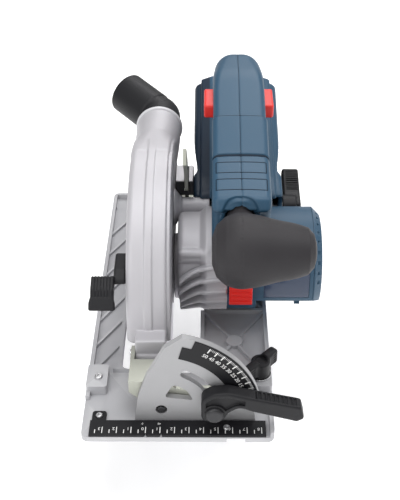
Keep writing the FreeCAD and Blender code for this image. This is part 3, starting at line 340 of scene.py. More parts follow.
def polygon(a, b, corners):
    """Signed distance to a closed polygon in a plane."""
    best = np.full(np.shape(a), 1e9)
    sign = np.ones(np.shape(a))
    for index, (ax, ay) in enumerate(corners):
        bx, by = corners[index - 1]
        ex, ey = bx - ax, by - ay
        wx, wy = a - ax, b - ay
        share = np.clip((wx * ex + wy * ey) / (ex * ex + ey * ey), 0.0, 1.0)
        best = np.minimum(best, (wx - ex * share) ** 2 + (wy - ey * share) ** 2)
        c1, c2, c3 = b >= ay, b < by, ex * wy > ey * wx
        sign = np.where((c1 & c2 & c3) | (~c1 & ~c2 & ~c3), -sign, sign)
    return sign * np.sqrt(best)


def slab(across, half, section, rounding):
    """A flat section made thick: across is the distance from its middle plane."""
    u = section + rounding
    v = np.abs(across) - half + rounding
    return length(np.maximum(u, 0.0), np.maximum(v, 0.0)) + np.minimum(np.maximum(u, v), 0.0) - rounding


def brick(x, y, z, low, high, rounding):
    centre = [(l + h) / 2 for l, h in zip(low, high)]
    half = [(h - l) / 2 - rounding for l, h in zip(low, high)]
    q = [np.abs(v - c) - e for v, c, e in zip((x, y, z), centre, half)]
    outside = length(*[np.maximum(part, 0.0) for part in q])
    return outside + np.minimum(np.maximum(np.maximum(q[0], q[1]), q[2]), 0.0) - rounding


def capsule(x, y, z, a, b, radius_a, radius_b=None):
    radius_b = radius_a if radius_b is None else radius_b
    ab = [q - p for p, q in zip(a, b)]
    rel = [v - p for v, p in zip((x, y, z), a)]
    share = np.clip(sum(r * d for r, d in zip(rel, ab)) / sum(d * d for d in ab), 0.0, 1.0)
    away = length(*[r - d * share for r, d in zip(rel, ab)])
    return away - (radius_a + (radius_b - radius_a) * share)


def tube_field(along, span, radial, radius, rounding):
    """A round bar: along is the coordinate down its axis, radial the distance from it."""
    middle, half = (span[0] + span[1]) / 2, (span[1] - span[0]) / 2
    return slab(along - middle, half, radial - radius, rounding)


CORNERS = [(i, j, k) for i in (0, 1) for j in (0, 1) for k in (0, 1)]
CELL_EDGES = [(a, b) for a in CORNERS for b in CORNERS if a < b and sum(p != q for p, q in zip(a, b)) == 1]


def mesh_from_field(name, field, low, high, step, settle=2, clip=None, sharp=52.0):
    """Closed quad mesh of the surface where field(x, y, z) is zero, by surface nets.

    clip is (axis, value, open_field): points near that plane are laid on it, and those on the
    rim between the plane and open_field's surface are brought to both.
    """
    step = step * 1.0
    axes = [np.arange(l - 2 * step, h + 3 * step, step) for l, h in zip(low, high)]
    x, y, z = np.meshgrid(*axes, indexing="ij", sparse=True)
    shape = tuple(len(a) for a in axes)
    values = np.broadcast_to(field(x, y, z), shape)
    inside = values < 0
    count = sum(inside[i:shape[0] - 1 + i, j:shape[1] - 1 + j, k:shape[2] - 1 + k].astype(np.int8)
                for i, j, k in CORNERS)
    cells = np.argwhere((count > 0) & (count < 8))
    number = np.full(tuple(s - 1 for s in shape), -1, np.int64)
    number[tuple(cells.T)] = np.arange(len(cells))
    total = np.zeros((len(cells), 3))
    hits = np.zeros(len(cells))
    for a, b in CELL_EDGES:
        va = values[tuple((cells + a).T)]
        vb = values[tuple((cells + b).T)]
        crossing = (va < 0) != (vb < 0)
        share = np.where(crossing, va / np.where(va == vb, 1.0, va - vb), 0.0)
        spot = np.array(a) + share[:, None] * (np.array(b) - np.array(a))
        total += spot * crossing[:, None]
        hits += crossing
    points = (cells + total / hits[:, None]) * step + np.array([a[0] for a in axes])
    for _ in range(settle):
        points = settle_points(field, points, step)
    if clip:
        axis, value, open_field = clip
        near = np.abs(points[:, axis] - value) < 0.6 * step
        points[near, axis] = value
        rim = near & (np.abs(open_field(*points.T)) < 0.7 * step)
        for _ in range(3):
            moved = settle_points(open_field, points[rim], step)
            moved[:, axis] = value
            points[rim] = moved
    faces = []
    for axis in range(3):
        near = [slice(None)] * 3
        far = [slice(None)] * 3
        near[axis], far[axis] = slice(0, -1), slice(1, None)
        change = inside[tuple(near)] != inside[tuple(far)]
        spots = np.argwhere(change)
        first, second = [n for n in range(3) if n != axis]
        keep = (spots[:, first] > 0) & (spots[:, second] > 0)
        keep &= (spots[:, first] < shape[first] - 1) & (spots[:, second] < shape[second] - 1)
        spots = spots[keep]
        ring_cells = []
        for df, ds in ((1, 1), (0, 1), (0, 0), (1, 0)):
            shifted = spots.copy()
            shifted[:, first] -= df
            shifted[:, second] -= ds
            ring_cells.append(number[tuple(shifted.T)])
        quad = np.stack(ring_cells, 1)
        outward = inside[tuple(spots.T)] if axis != 1 else ~inside[tuple(spots.T)]
        quad[~outward] = quad[~outward][:, ::-1]
        faces.append(quad)
    quads = np.concatenate(faces)
    mesh = bpy.data.meshes.new(name)
    mesh.vertices.add(len(points))
    mesh.vertices.foreach_set("co", (points * MM).ravel())
    mesh.loops.add(quads.size)
    mesh.loops.foreach_set("vertex_index", quads.ravel().astype(np.int32))
    mesh.polygons.add(len(quads))
    mesh.polygons.foreach_set("loop_start", np.arange(0, quads.size, 4, dtype=np.int32))
    mesh.polygons.foreach_set("use_smooth", np.ones(len(quads), bool))
    mesh.update(calc_edges=True)
    mesh.validate()
    mesh.set_sharp_from_angle(angle=math.radians(sharp))
    return mesh


def field_piece(node, field, step, look, settle=2, sharp=52.0):
    """A CAD node's stand-in, meshed from its distance field over the node's own box."""
    low, high = mm_box(node)
    mesh = mesh_from_field(node + "_shape", field, low, high, step, settle, sharp=sharp)
    return add_piece(node + "_piece", mesh, BODIES[node], look, [node])


def settle_points(field, points, step):
    """Move points along the field's slope on to its surface, at most half a step."""
    h = 0.05 * step
    x, y, z = points.T
    here = field(x, y, z)
    slope = np.stack([
        field(x + h, y, z) - field(x - h, y, z),
        field(x, y + h, z) - field(x, y - h, z),
        field(x, y, z + h) - field(x, y, z - h),
    ], 1) / (2 * h)
    steep = np.maximum((slope * slope).sum(1), 0.2)
    move = -(here / steep)[:, None] * slope
    reach = np.maximum(np.linalg.norm(move, axis=1), 1e-9)
    move *= np.minimum(1.0, 0.5 * step / reach)[:, None]
    return points + move


def mm_box(node):
    low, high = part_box(node)
    return [c / MM for c in low], [c / MM for c in high]


# ---- shared places, from the frame (mm)
def joint_place(name):
    place = next(joint["pos_m"] for joint in frame["joints"] if joint["name"] == name)
    return [c / MM for c in place]


ARBOR = joint_place("blade_spin")[1:]
MOTOR = joint_place("rotor_spin")[1:]
HINGE = joint_place("depth_swing")[1:]
BEVEL = joint_place("bevel_tilt")
CLAMP = joint_place("bevel_lever_swing")
DEPTH_CLAMP = joint_place("depth_lever_swing")[1:]
DUCT = joint_place("dust_elbow_swivel")
FINGER = joint_place("guard_lever_lift")[1:]
BODY_SIDE = mm_box("handle_right_shell")[1][0]
SPLIT = mm_box("handle_left_shell")[1][0] + 0.15
REAR_HALF = BODY_SIDE - SPLIT
GRIP_HALF = 20.5
MOTOR_RADIUS = (mm_box("motor_housing")[1][1] - mm_box("motor_housing")[0][1]) / 2


# ---- outlines (mm)
def rounded(corners, turns=6):
    """Corner list of (a, b, radius) as a dense closed outline with round corners."""
    points = []
    for index, (a, b, radius) in enumerate(corners):
        before, after = corners[index - 1], corners[(index + 1) % len(corners)]
        to_before = np.array([before[0] - a, before[1] - b], float)
        to_after = np.array([after[0] - a, after[1] - b], float)
        len_before, len_after = np.linalg.norm(to_before), np.linalg.norm(to_after)
        to_before /= len_before
        to_after /= len_after
        half = math.acos(np.clip(to_before @ to_after, -1.0, 1.0)) / 2
        reach = min(radius / math.tan(half), 0.49 * len_before, 0.49 * len_after)
        if reach < 0.05:
            points.append((a, b))
            continue
        corner = np.array([a, b], float)
        for step in range(turns + 1):
            t = step / turns
            point = (corner + to_before * reach) * (1 - t) ** 2 + corner * 2 * t * (1 - t)
            point = point + (corner + to_after * reach) * t ** 2
            points.append((point[0], point[1]))
    return points


def polar(centre, radius, degrees):
    angle = math.radians(degrees)
    return centre[0] + radius * math.cos(angle), centre[1] + radius * math.sin(angle)


def ramp(value, low, high):
    """0 below low, 1 above high, smooth between."""
    t = np.clip((value - low) / (high - low), 0.0, 1.0)
    return t * t * (3.0 - 2.0 * t)


# ---- handle and rear housing
HANDLE_OUTLINE = rounded([
    (72, 80, 0), (71, 124, 6), (60, 131, 4), (66, 141, 6), (112, 147, 120), (150, 157, 120),
    (200, 167.5, 80), (235, 166, 28), (265, 149, 26), (284, 118, 20), (286, 96, 0), (240, 96, 0),
    (160, 80, 0),
])
GRIP_HOLE = rounded([
    (132, 100, 10), (134, 118, 10), (158, 126, 20), (205, 136, 30), (234, 136, 16),
    (250, 122, 7), (243, 114, 5), (170, 97, 20),
])
REAR_OUTLINE = rounded([
    (147, 36, 6), (177, 36, 5), (178.5, 86, 3), (291, 86, 4), (293, 112, 8), (282, 123, 8),
    (240, 112, 30), (168, 93, 20), (147, 90, 8),
])
REAR_CORE = rounded([
    (149, 38, 6), (176, 38, 5), (177.5, 87, 3), (289.5, 87, 4), (291, 109, 8), (281, 120, 8),
    (240, 109.4, 30), (168, 90.6, 20), (149, 88, 8),
])
STRUT = (148.0, 78.0)
STEM_X, STEM_Z = 65.0, 126.0
STEM = (STEM_X, 42.0, 114.0), (STEM_X, 74.0, STEM_Z)
ARCH = (STEM_X, 52.0, 117.5), (STEM_X, 70.0, 124.5)
STEP_LINE = 150.0
STEP_GROOVE = 112.0
FRAME_MIDDLES = (99.2, 81.2)
FRAME_HALF_WIDTH = 17.6
FRAME_HALF_LENGTH = 5.6
LOCK_LOW, LOCK_HIGH = mm_box("lock_off_bar")
LOCK_LOW[1], LOCK_HIGH[1] = LOCK_LOW[1] + 8.0, LOCK_HIGH[1] + 2.6
TRIGGER = joint_place("trigger_pull")[1:]


def handle_outer(x, y, z):
    """Outside of both shells: the grip loop on the wide rear housing."""
    across = x - SPLIT
    crown = 0.9 * (across / GRIP_HALF) ** 2
    lower = 0.55 * ramp(y, STEP_LINE, STEP_LINE + 0.8) + 1.0 * (1 - ramp(y, STEP_GROOVE, STEP_GROOVE + 0.9))
    side = GRIP_HALF - 1.0 * ramp(y, STEP_LINE, STEP_LINE + 0.8) - 4.5 * ramp(y, 200.0, 280.0)
    edge_round = 4.6 + 9.5 * ramp(y, 178.0, 252.0)
    loop = slab(across, side, polygon(y, z, HANDLE_OUTLINE) + crown + lower, edge_round)
    slope = 0.32 * np.maximum(np.abs(across) - 20.0, 0.0) * ramp(z, 86.0, 92.0)
    wide = slab(across, REAR_HALF, polygon(y, z, REAR_CORE) + slope, 4.0)
    spine = slab(across, REAR_HALF - 5.5, polygon(y, z, REAR_OUTLINE) + slope, 1.2)
    rear = blend_union(wide, spine, 0.8)
    return blend_union(loop, rear, 1.6)


def engraved(x, y, z):
    """The deep step groove across the grip and the shallow arched recess above the front grip's neck."""
    outer = handle_outer(x, y, z)
    groove = np.maximum(np.abs(y - STEP_GROOVE) - 0.8, -(outer + 0.9))
    recess = np.maximum(length(x - STEM_X, 1.1 * (y - 56.0)) - 14.5, -(outer + 1.7))
    return np.maximum(np.minimum(groove, recess), 124.0 - z)


def handle_field(x, y, z):
    """Both shells as one: hollow, with the hand opening and room for what they hold."""
    outer = handle_outer(x, y, z)
    body = blend_cut(outer, engraved(x, y, z), 0.5)
    hollow = np.maximum(outer + 3.0, -(polygon(y, z, GRIP_HOLE) - 3.0))
    body = np.maximum(body, -hollow)
    hole = np.maximum(polygon(y, z, GRIP_HOLE), -(polygon(y, z, REAR_OUTLINE)))
    body = blend_cut(body, hole, 3.0)
    drum = np.maximum(length(y - MOTOR[0], z - MOTOR[1]) - (MOTOR_RADIUS + 0.4), 50.0 - x)
    collar = capsule(x, y, z, *ARCH, 18.4, 13.4)
    body = blend_union(body, np.maximum(collar, np.maximum(66.5 - y, y - 77.0)), 1.2)
    body = blend_cut(body, capsule(x, y, z, *ARCH, 15.0, 10.0), 1.0)
    lock_low = (38.0, LOCK_LOW[1] - 0.6, LOCK_LOW[2] - 0.6)
    lock_high = (94.0, LOCK_HIGH[1] + 0.6, LOCK_HIGH[2] + 0.6)
    motor_seat = tube_field(x, (44.0, 58.0), length(y - MOTOR[0], z - MOTOR[1]), MOTOR_RADIUS + 0.4, 0.1)
    strut = length(y - STRUT[0], z - STRUT[1]) - 6.9
    clamp_shaft = length(y - DEPTH_CLAMP[0], z - DEPTH_CLAMP[1]) - 4.3
    gear_case = tube_field(x, (10.0, 37.2), length(y - ARBOR[0], z - ARBOR[1]), 26.7, 0.1)
    trigger = brick(x, y, z, (54.0, 141.0, 104.0), (78.0, 180.0, 133.0), 0.5)
    trigger_axle = tube_field(x, (49.5, 82.5), length(y - TRIGGER[0], z - TRIGGER[1]), 1.8, 0.1)
    lock_slot = brick(x, y, z, lock_low, lock_high, 0.8)
    lock_gap = brick(x, y, z, (80.0, 200.0, 143.0), (94.0, 207.5, 150.5), 0.6)
    grip_plug = tube_field(y, (55.0, 80.2), length(x - STEM_X, z - STEM_Z), 8.4, 0.5)
    battery_rail = brick(x, y, z, (42.5, 185.5, 80.0), (90.5, 300.0, 90.8), 0.5)
    eyelet = length(x - 77.0, y - 262.0, z - 163.5) - 1.9
    for solid in (drum, motor_seat, strut, clamp_shaft, gear_case, trigger, lock_slot, lock_gap,
                  trigger_axle, grip_plug, battery_rail, eyelet):
        body = np.maximum(body, -solid)
    return body


def handle_half(node, side):
    """One shell: the field cut off just beside the parting plane, with a fine seam along it."""
    low, high = mm_box(node)
    edge = SPLIT + side * 0.05

    def whole(x, y, z):
        return handle_field(x, y, z) + 0.25 * np.exp(-((x - SPLIT) / 0.6) ** 2)

    def field(x, y, z):
        return np.maximum(whole(x, y, z), (edge - x) * side)

    mesh = mesh_from_field(node + "_shape", field, low, high, 0.8, 2, (0, edge, whole))
    return add_piece(node + "_piece", mesh, "saw_head", "blue_plastic", [node])


def grip_top(x, y):
    """Height of the grip's top surface over points (x, y)."""
    low, high = np.full(np.shape(x), 118.0), np.full(np.shape(x), 176.0)
    for _ in range(28):
        middle = (low + high) / 2
        inside = handle_outer(x, y, middle) < 0
        low, high = np.where(inside, middle, low), np.where(inside, high, middle)
    return low


def strip_faces(pieces):
    """Faces of a four-sided bar whose long edges come one after another, each of pieces + 1 points."""
    count = pieces + 1
    faces = [(0, count, 2 * count, 3 * count), tuple(count * k + pieces for k in (3, 2, 1, 0))]
    for index in range(pieces):
        for side in range(4):
            a, b = side * count + index, (side + 1) % 4 * count + index
            faces.append((a, a + 1, b + 1, b))
    return faces


def grip_ribbon(start, stop, width, drop, pieces=30):
    """Mesh arrays of a strip on the grip's top from start to stop, both (x, y), sunk in by drop."""
    share = np.linspace(0.0, 1.0, pieces + 1)
    along = np.array(stop, float) - np.array(start, float)
    aside = np.array((-along[1], along[0])) / np.linalg.norm(along) * width / 2
    middle = np.array(start, float) + share[:, None] * along
    verts = []
    for offset, depth in ((aside, drop), (-aside, drop), (-aside, 1.6), (aside, 1.6)):
        spot = middle + offset
        verts.append(np.column_stack([spot, grip_top(spot[:, 0], spot[:, 1]) - depth]))
    return np.concatenate(verts).tolist(), strip_faces(pieces)


def grip_lines():
    """Dark strips on the grip's top: two frames, painted shade on the step groove's floor, a painted shadow line
    along the step, and the seam.
    """
    left, right = SPLIT - FRAME_HALF_WIDTH, SPLIT + FRAME_HALF_WIDTH
    parts = []
    for middle in FRAME_MIDDLES:
        front, back = middle - FRAME_HALF_LENGTH, middle + FRAME_HALF_LENGTH
        for start, stop in (((left, front), (right, front)), ((left, back), (right, back)),
                            ((left, front), (left, back)), ((right, front), (right, back))):
            parts.append(grip_ribbon(start, stop, width=0.7, drop=-0.12))
    # painted shade: a dark strip laid on the step groove's floor
    parts.append(grip_ribbon((SPLIT - 20.0, STEP_GROOVE), (SPLIT + 20.0, STEP_GROOVE), width=1.2, drop=0.5))
    # painted shadow: a dark line along the step's edge
    parts.append(grip_ribbon((SPLIT - 18.6, STEP_LINE), (SPLIT + 18.6, STEP_LINE), width=0.4, drop=-0.08))
    parts.append(grip_ribbon((SPLIT, 76.0), (SPLIT, 240.0), width=0.3, drop=-0.02, pieces=80))
    return add_piece("grip_lines", marks_mesh("grip_lines", parts), "saw_head", "navy_lines_and_painted_shade")


def lock_off_bar():
    """The red sliding bar, with a finger button on each side of the grip."""
    def bar(x, y, z):
        buttons = np.maximum(brick(x, y, z, LOCK_LOW, LOCK_HIGH, 1.6), 14.0 - np.abs(x - SPLIT))
        link = brick(x, y, z, (LOCK_LOW[0] + 8.0, LOCK_LOW[1] + 3.0, LOCK_LOW[2] + 2.5),
                     (LOCK_HIGH[0] - 8.0, LOCK_LOW[1] + 9.0, LOCK_HIGH[2] - 3.5), 0.4)
        return np.minimum(buttons, link)

    mesh = mesh_from_field("lock_off_shape", bar, LOCK_LOW, LOCK_HIGH, 0.7)
    return add_piece("lock_off_bar_piece", mesh, "lock_off", "red_plastic", ["lock_off_bar"])


# ---- front grip
GRIP_CENTRE = (42.0, 114.0)
GRIP_STATIONS = np.array([
    (45.5, 9.0), (48.5, 17.5), (55.0, 23.5), (64.0, 26.0), (76.0, 24.5),
    (90.0, 20.8), (102.0, 18.6), (110.0, 16.0), (114.0, 11.5), (115.6, 6.0),
])
GRIP_ENDS = GRIP_STATIONS[0, 0], GRIP_STATIONS[-1, 0]
SMOOTHING = 17
GRIP_ALONG = np.arange(38.0, 124.0, 0.5)
GRIP_RADIUS = np.convolve(
    np.interp(np.arange(34.0, 128.0, 0.5), GRIP_STATIONS[:, 0], GRIP_STATIONS[:, 1]),
    np.ones(SMOOTHING) / SMOOTHING, "valid")


def grip_field(x, y, z):
    """A turned bulb across the saw, on a tapering neck that plugs into the handle."""
    along = np.clip(x, *GRIP_ENDS)
    smooth = np.interp(along, GRIP_ALONG, GRIP_RADIUS)
    table = np.interp(along, GRIP_STATIONS[:, 0], GRIP_STATIONS[:, 1])
    middle = ramp(x, 52.0, 58.0) * (1.0 - ramp(x, 104.0, 110.0))
    radius = table + (smooth - table) * middle
    radial = length(y - GRIP_CENTRE[0], z - GRIP_CENTRE[1]) - radius
    bulb = length(np.maximum(radial, 0.0), x - along) + np.minimum(radial, 0.0)
    bulb = np.maximum(bulb, np.maximum(GRIP_ENDS[0] - x, x - GRIP_ENDS[1]))
    neck = np.maximum(capsule(x, y, z, *STEM, 15.0, 7.8), y - 74.0)
    plug = tube_field(y, (66.0, 79.5), length(x - STEM_X, z - STEM_Z), 8.0, 0.5)
    body = blend_union(bulb, np.minimum(neck, plug), 5.0)
    seam = np.maximum(np.abs(x - STEM_X) - 0.3, -(body + 0.4))
    return np.maximum(body, -seam)


def front_grip():
    return field_piece("front_grip", grip_field, 0.8, "rubber_grip", settle=3)


# ---- upper guard
SKIRT = 36.0
DUCT_START, DUCT_END = 150.0, 226.0


def duct_field(x, y, z, wall):
    """Rounded rectangle near the blade that turns into a circle at the outlet."""
    t = np.clip((y - DUCT_START) / 40.0, 0.0, 1.0)
    s = ramp(y, 172.0, DUCT_END)
    centre_x = 0.4 * (1 - s) + DUCT[0] * s
    centre_z = (96.75 + 2.0 * t) * (1 - s) + DUCT[2] * s
    half_x = (15.6 - 0.5 * t) * (1 - s) + 17.9 * s + 3.0 * s * (1 - s) - wall
    half_z = (30.75 - 6.0 * t) * (1 - s) + 17.9 * s - wall
    corner = np.minimum(np.minimum(7.0 + 6.0 * t + 12.0 * s, half_x), half_z)
    qx = np.abs(x - centre_x) - half_x + corner
    qz = np.abs(z - centre_z) - half_z + corner
    section = length(np.maximum(qx, 0.0), np.maximum(qz, 0.0)) + np.minimum(np.maximum(qx, qz), 0.0)
    return np.maximum(section - corner, np.maximum(DUCT_START - y, y - DUCT_END))


def guard_field(x, y, z):
    """Half-round shell with its middle band and right flange, the duct, the cheek and the hinge block."""
    radial = length(y - ARBOR[0], z - ARBOR[1])
    left = slab(x + 4.6, 10.6, radial - 102.0, 4.8)
    shell = np.minimum(left, slab(x - 4.0, 9.4, radial - 102.0, 1.6))
    band = slab(x - 0.6, 2.9, radial - 102.8, 0.3)
    flange = slab(x - 13.4, 2.6, radial - 99.6, 1.0)
    outside = np.minimum(np.minimum(shell, band), flange)
    outside = np.maximum(outside, SKIRT - z)
    cheek = np.maximum(slab(x - 14.75, 1.25, radial - 34.0, 0.4), np.maximum(14.0 - z, z - 60.0))
    cheek = np.maximum(cheek, 60.0 - y)
    knuckle = tube_field(x, (-8.4, 13.1), length(y - HINGE[0], z - HINGE[1]), 6.0, 0.6)
    block = brick(x, y, z, (-8.4, 25.0, 32.0), (13.1, 46.0, 47.0), 1.2)
    outlet = tube_field(y, (223.0, 228.0), length(x - DUCT[0], z - DUCT[2]), 17.0, 0.2)
    body = blend_union(outside, duct_field(x, y, z, 0.0), 3.0)
    body = np.minimum(np.minimum(body, np.minimum(cheek, outlet)), np.minimum(knuckle, block))
    blade_room = slab(x - 0.4, 13.1, radial - 99.8, 1.9)
    chip_duct = np.maximum(duct_field(x, y, z, 2.6), y - 224.5)
    outlet_bore = tube_field(y, (219.0, 230.0), length(x - DUCT[0], z - DUCT[2]), 14.8, 0.1)
    hub_hole = np.maximum(radial - 20.3, 12.0 - x)
    bolt_opening = np.maximum(radial - 30.0, x + 11.0)
    hinge_hole = length(y - HINGE[0], z - HINGE[1]) - 3.3
    lever_hole = np.maximum(length(y - FINGER[0], z - FINGER[1]) - 2.7, x + 11.0)
    for solid in (blade_room, chip_duct, outlet_bore, hub_hole, bolt_opening, hinge_hole, lever_hole):
        body = np.maximum(body, -solid)
    return body


def upper_guard():
    return field_piece("upper_guard", guard_field, 0.8, "cast_alloy", sharp=75.0)


# ---- gear housing
def gear_field(x, y, z):
    """Waisted drum with five curling fins, the spindle's hub, the strut and the bores inside."""
    radial = length(y - MOTOR[0], z - MOTOR[1])
    angle = np.degrees(np.arctan2(z - MOTOR[1], y - MOTOR[0]))
    angle = np.where(angle < 0.0, angle + 360.0, angle)
    hub_radial = length(y - ARBOR[0], z - ARBOR[1])
    strut_radial = length(y - STRUT[0], z - STRUT[1])
    waist = 1.0 - ramp(x, 36.0, 42.0)
    valley = 3.2 * ramp(angle, 146.0, 152.0) * (1.0 - ramp(angle, 216.0, 224.0))
    valley = valley * (1.0 - ramp(x, 37.0, 42.4))
    body = np.maximum(slab(x - 43.5, 23.5, radial - MOTOR_RADIUS + 4.2 * waist + valley, 5.0), x - 57.0)
    bend = 0.00042 * np.maximum(57.0 - x, 0.0) ** 3
    for index in range(5):
        spread = np.radians(angle - (153.0 + 14.0 * index) - bend) * radial
        fin = slab(spread, 1.7, radial - (MOTOR_RADIUS + 3.1 - 2.0 * waist), 1.5)
        fin = np.maximum(np.maximum(fin, 21.5 - x), x - 56.8)
        body = blend_union(body, np.maximum(fin, 34.0 - radial), 1.3)
    body = blend_union(body, slab(x - 26.45, 10.15, hub_radial - 26.2, 1.0), 3.0)
    body = np.minimum(body, slab(x - 13.3, 3.7, hub_radial - 19.8, 0.4))
    flare = 16.0 - 7.0 * ramp(x, 16.3, 22.0)
    cone = np.maximum(strut_radial - flare, np.maximum(16.3 - x, x - 22.0))
    rod = tube_field(x, (16.3, 44.0), strut_radial, 6.6, 0.5)
    body = np.minimum(body, blend_union(cone, rod, 2.0))
    ridge_at = polar(MOTOR, MOTOR_RADIUS - 3.4, 138.0)
    ridge = capsule(x, y, z, (24.0, *ridge_at), (42.0, *ridge_at), 3.0)
    body = blend_union(body, np.maximum(ridge, x - 45.2), 3.0)
    for solid in (
        tube_field(x, (42.5, 60.0), radial, MOTOR_RADIUS - 3.2, 0.1),
        # round the spindle: its gear, its two bearings and its end
        tube_field(x, (21.6, 33.8), hub_radial, 24.3, 0.1),
        tube_field(x, (8.0, 21.7), hub_radial, 14.0, 0.1),
        tube_field(x, (33.0, 41.2), hub_radial, 11.2, 0.1),
        tube_field(x, (40.0, 42.6), hub_radial, 6.8, 0.1),
        # round the motor's axis: the pinion, its bearing and its shaft
        tube_field(x, (21.6, 33.8), radial, 9.6, 0.1),
        tube_field(x, (33.0, 41.2), radial, 9.2, 0.1),
        tube_field(x, (40.0, 43.0), radial, 6.2, 0.1),
        # a notch at the upper rear and the depth strip's slot
        brick(x, y, z, (14.0, 149.0, 86.0), (40.0, 180.0, 100.0), 0.2),
        brick(x, y, z, (24.0, 160.6, -5.0), (28.0, 200.0, 100.0), 0.2),
    ):
        body = np.maximum(body, -solid)
    return body


def gear_housing():
    return field_piece("gear_housing", gear_field, 0.75, "cast_alloy", sharp=70.0)


# ---- dust elbow
ELBOW_AT = (DUCT[0], 243.0, DUCT[2])
ELBOW_TURN, ELBOW_LIFT = math.radians(45.6), math.radians(14.0)
ELBOW_WAY = (
    -math.sin(ELBOW_TURN) * math.cos(ELBOW_LIFT),
    math.cos(ELBOW_TURN),
    math.sin(ELBOW_TURN) * math.sin(ELBOW_LIFT),
)
ELBOW_REACH = 43.0


def elbow_field(x, y, z):
    """Inlet, ball and outlet pipe with a raised sleeve on the pipe."""
    rel = [v - c for v, c in zip((x, y, z), ELBOW_AT)]
    along = sum(r * w for r, w in zip(rel, ELBOW_WAY))
    beside = length(*[r - along * w for r, w in zip(rel, ELBOW_WAY)])
    inlet = np.maximum(length(rel[0], rel[2]) - 16.9, np.maximum(228.4 - y, rel[1]))
    ball = length(*rel) - 16.9
    sleeve = slab(along - (ELBOW_REACH + 7.5) / 2, (ELBOW_REACH - 7.5) / 2, beside - 17.5, 0.7)
    pipe = np.maximum(beside - 16.9, np.maximum(-along, along - ELBOW_REACH))
    body = blend_union(blend_union(np.minimum(inlet, ball), pipe, 1.0), sleeve, 0.6)
    body = np.maximum(body, 228.4 - y)
    bore = np.minimum(np.maximum(length(rel[0], rel[2]) - 15.0, rel[1]), length(*rel) - 15.0)
    return np.maximum(body, -np.minimum(bore, np.maximum(beside - 15.0, -along)))


def duct_collar():
    low, high = mm_box("duct_collar")

    def ring(x, y, z):
        radial = length(x - DUCT[0], z - DUCT[2])
        return np.maximum(tube_field(y, (low[1], high[1]), radial, 19.2, 0.9), 17.2 - radial)

    return field_piece("duct_collar", ring, 0.5, "cast_alloy")


def dust_elbow():
    return field_piece("dust_elbow", elbow_field, 0.65, "black_plastic")


# ---- levers and knobs
LEVER_OUTLINE = rounded([
    (38.5, 16.0, 5), (38.5, 36.0, 7), (46.0, 41.5, 6), (57.0, 42.5, 8), (72.0, 38.0, 12),
    (106.0, 29.5, 3), (108.5, 19.0, 3), (103.5, 16.0, 2), (73.0, 25.5, 8), (64.0, 29.5, 7),
    (57.0, 24.0, 4), (53.0, 16.0, 4),
])


def bevel_lever_field(x, y, z):
    """Lever with a thick hub round the clamp bolt and a ribbed trough along the arm."""
    section = polygon(x, z, LEVER_OUTLINE)
    middle = y + 16.25
    body = slab(middle, 5.2, section, 1.6)
    body = np.maximum(body, -np.maximum(y + 19.6, np.maximum(section + 3.2, x - 68.0)))
    hub = slab(y + 19.2, 2.3, length(x - CLAMP[0], z - CLAMP[2]) - 8.0, 0.8)
    body = np.minimum(body, np.maximum(hub, section))
    trough = np.maximum(np.maximum(np.abs(middle) - 3.3, -(section + 1.3)), np.maximum(75.0 - x, x - 104.5))
    trough = np.maximum(trough, 24.5 - z)
    ribs = np.abs((x - 75.0) % 3.0 - 1.5) - 0.55
    trough = np.maximum(trough, -np.maximum(ribs, section + 0.4))
    body = np.maximum(body, -trough)
    return np.maximum(body, -(length(x - CLAMP[0], z - CLAMP[2]) - 3.1))


def bevel_clamp_lever():
    return field_piece("bevel_clamp_lever", bevel_lever_field, 0.5, "black_plastic")


DEPTH_LEVER_OUTLINE = rounded([
    (DEPTH_CLAMP[0] - 5, 57, 4), (DEPTH_CLAMP[0] + 12, 57, 6), (206, 62, 3), (209, 70, 3),
    (203, 78, 5), (DEPTH_CLAMP[0] + 10, 72, 6), (DEPTH_CLAMP[0] - 5, 71, 4),
])


def depth_lever_field(x, y, z):
    radial = length(y - DEPTH_CLAMP[0], z - DEPTH_CLAMP[1])
    section = polygon(y, z, DEPTH_LEVER_OUTLINE)
    arm = slab(x - 110.25, 6.7, section, 1.8)
    hub = tube_field(x, (102.1, 113.0), radial, 8.9, 0.8)
    body = blend_union(arm, hub, 1.5)
    groove = np.maximum(0.45 - np.abs((y - 179.0) % 2.4 - 1.2), -(section + 0.8))
    groove = np.maximum(np.maximum(groove, 179.0 - y), np.maximum(y - 203.5, 106.0 - x))
    body = np.maximum(body, -groove)
    return np.maximum(body, -np.maximum(radial - 4.1, x - 104.1))


def depth_clamp_lever():
    return field_piece("depth_clamp_lever", depth_lever_field, 0.5, "black_plastic")


FINGER_ARM = rounded([
    (FINGER[0] + 5, FINGER[1] - 7, 4), (FINGER[0] + 5, FINGER[1] + 5, 4),
    (FINGER[0] - 14, FINGER[1] + 4, 4), (FINGER[0] - 26, FINGER[1] - 2, 4),
    (FINGER[0] - 14, FINGER[1] - 9, 4),
])
FINGER_PAD = rounded([
    (FINGER[0] - 16, FINGER[1] - 3, 2), (FINGER[0] - 21, FINGER[1] + 3, 2),
    (FINGER[0] - 32, FINGER[1] - 1, 4), (FINGER[0] - 42, FINGER[1] - 12, 2),
    (FINGER[0] - 37, FINGER[1] - 16, 2), (FINGER[0] - 26, FINGER[1] - 8, 4),
])


def finger_field(x, y, z):
    arm = slab(x + 20.05, 4.4, polygon(y, z, FINGER_ARM), 1.6)
    pad_section = polygon(y, z, FINGER_PAD)
    pad = slab(x + 31.9, 8.2 + 1.2 * ramp(y, FINGER[0] - 34.0, FINGER[0] - 38.0), pad_section, 1.4)
    groove = np.maximum(0.4 - np.abs((x + 40.2) % 2.2 - 1.1), -(pad_section + 0.45))
    groove = np.maximum(np.maximum(groove, x + 26.0), FINGER[0] - 35.5 - y)
    pad = np.maximum(pad, -np.maximum(groove, -39.8 - x))
    axle = tube_field(x, (-17.0, -13.2), length(y - FINGER[0], z - FINGER[1]), 2.4, 0.1)
    return np.minimum(blend_union(arm, pad, 1.5), axle)


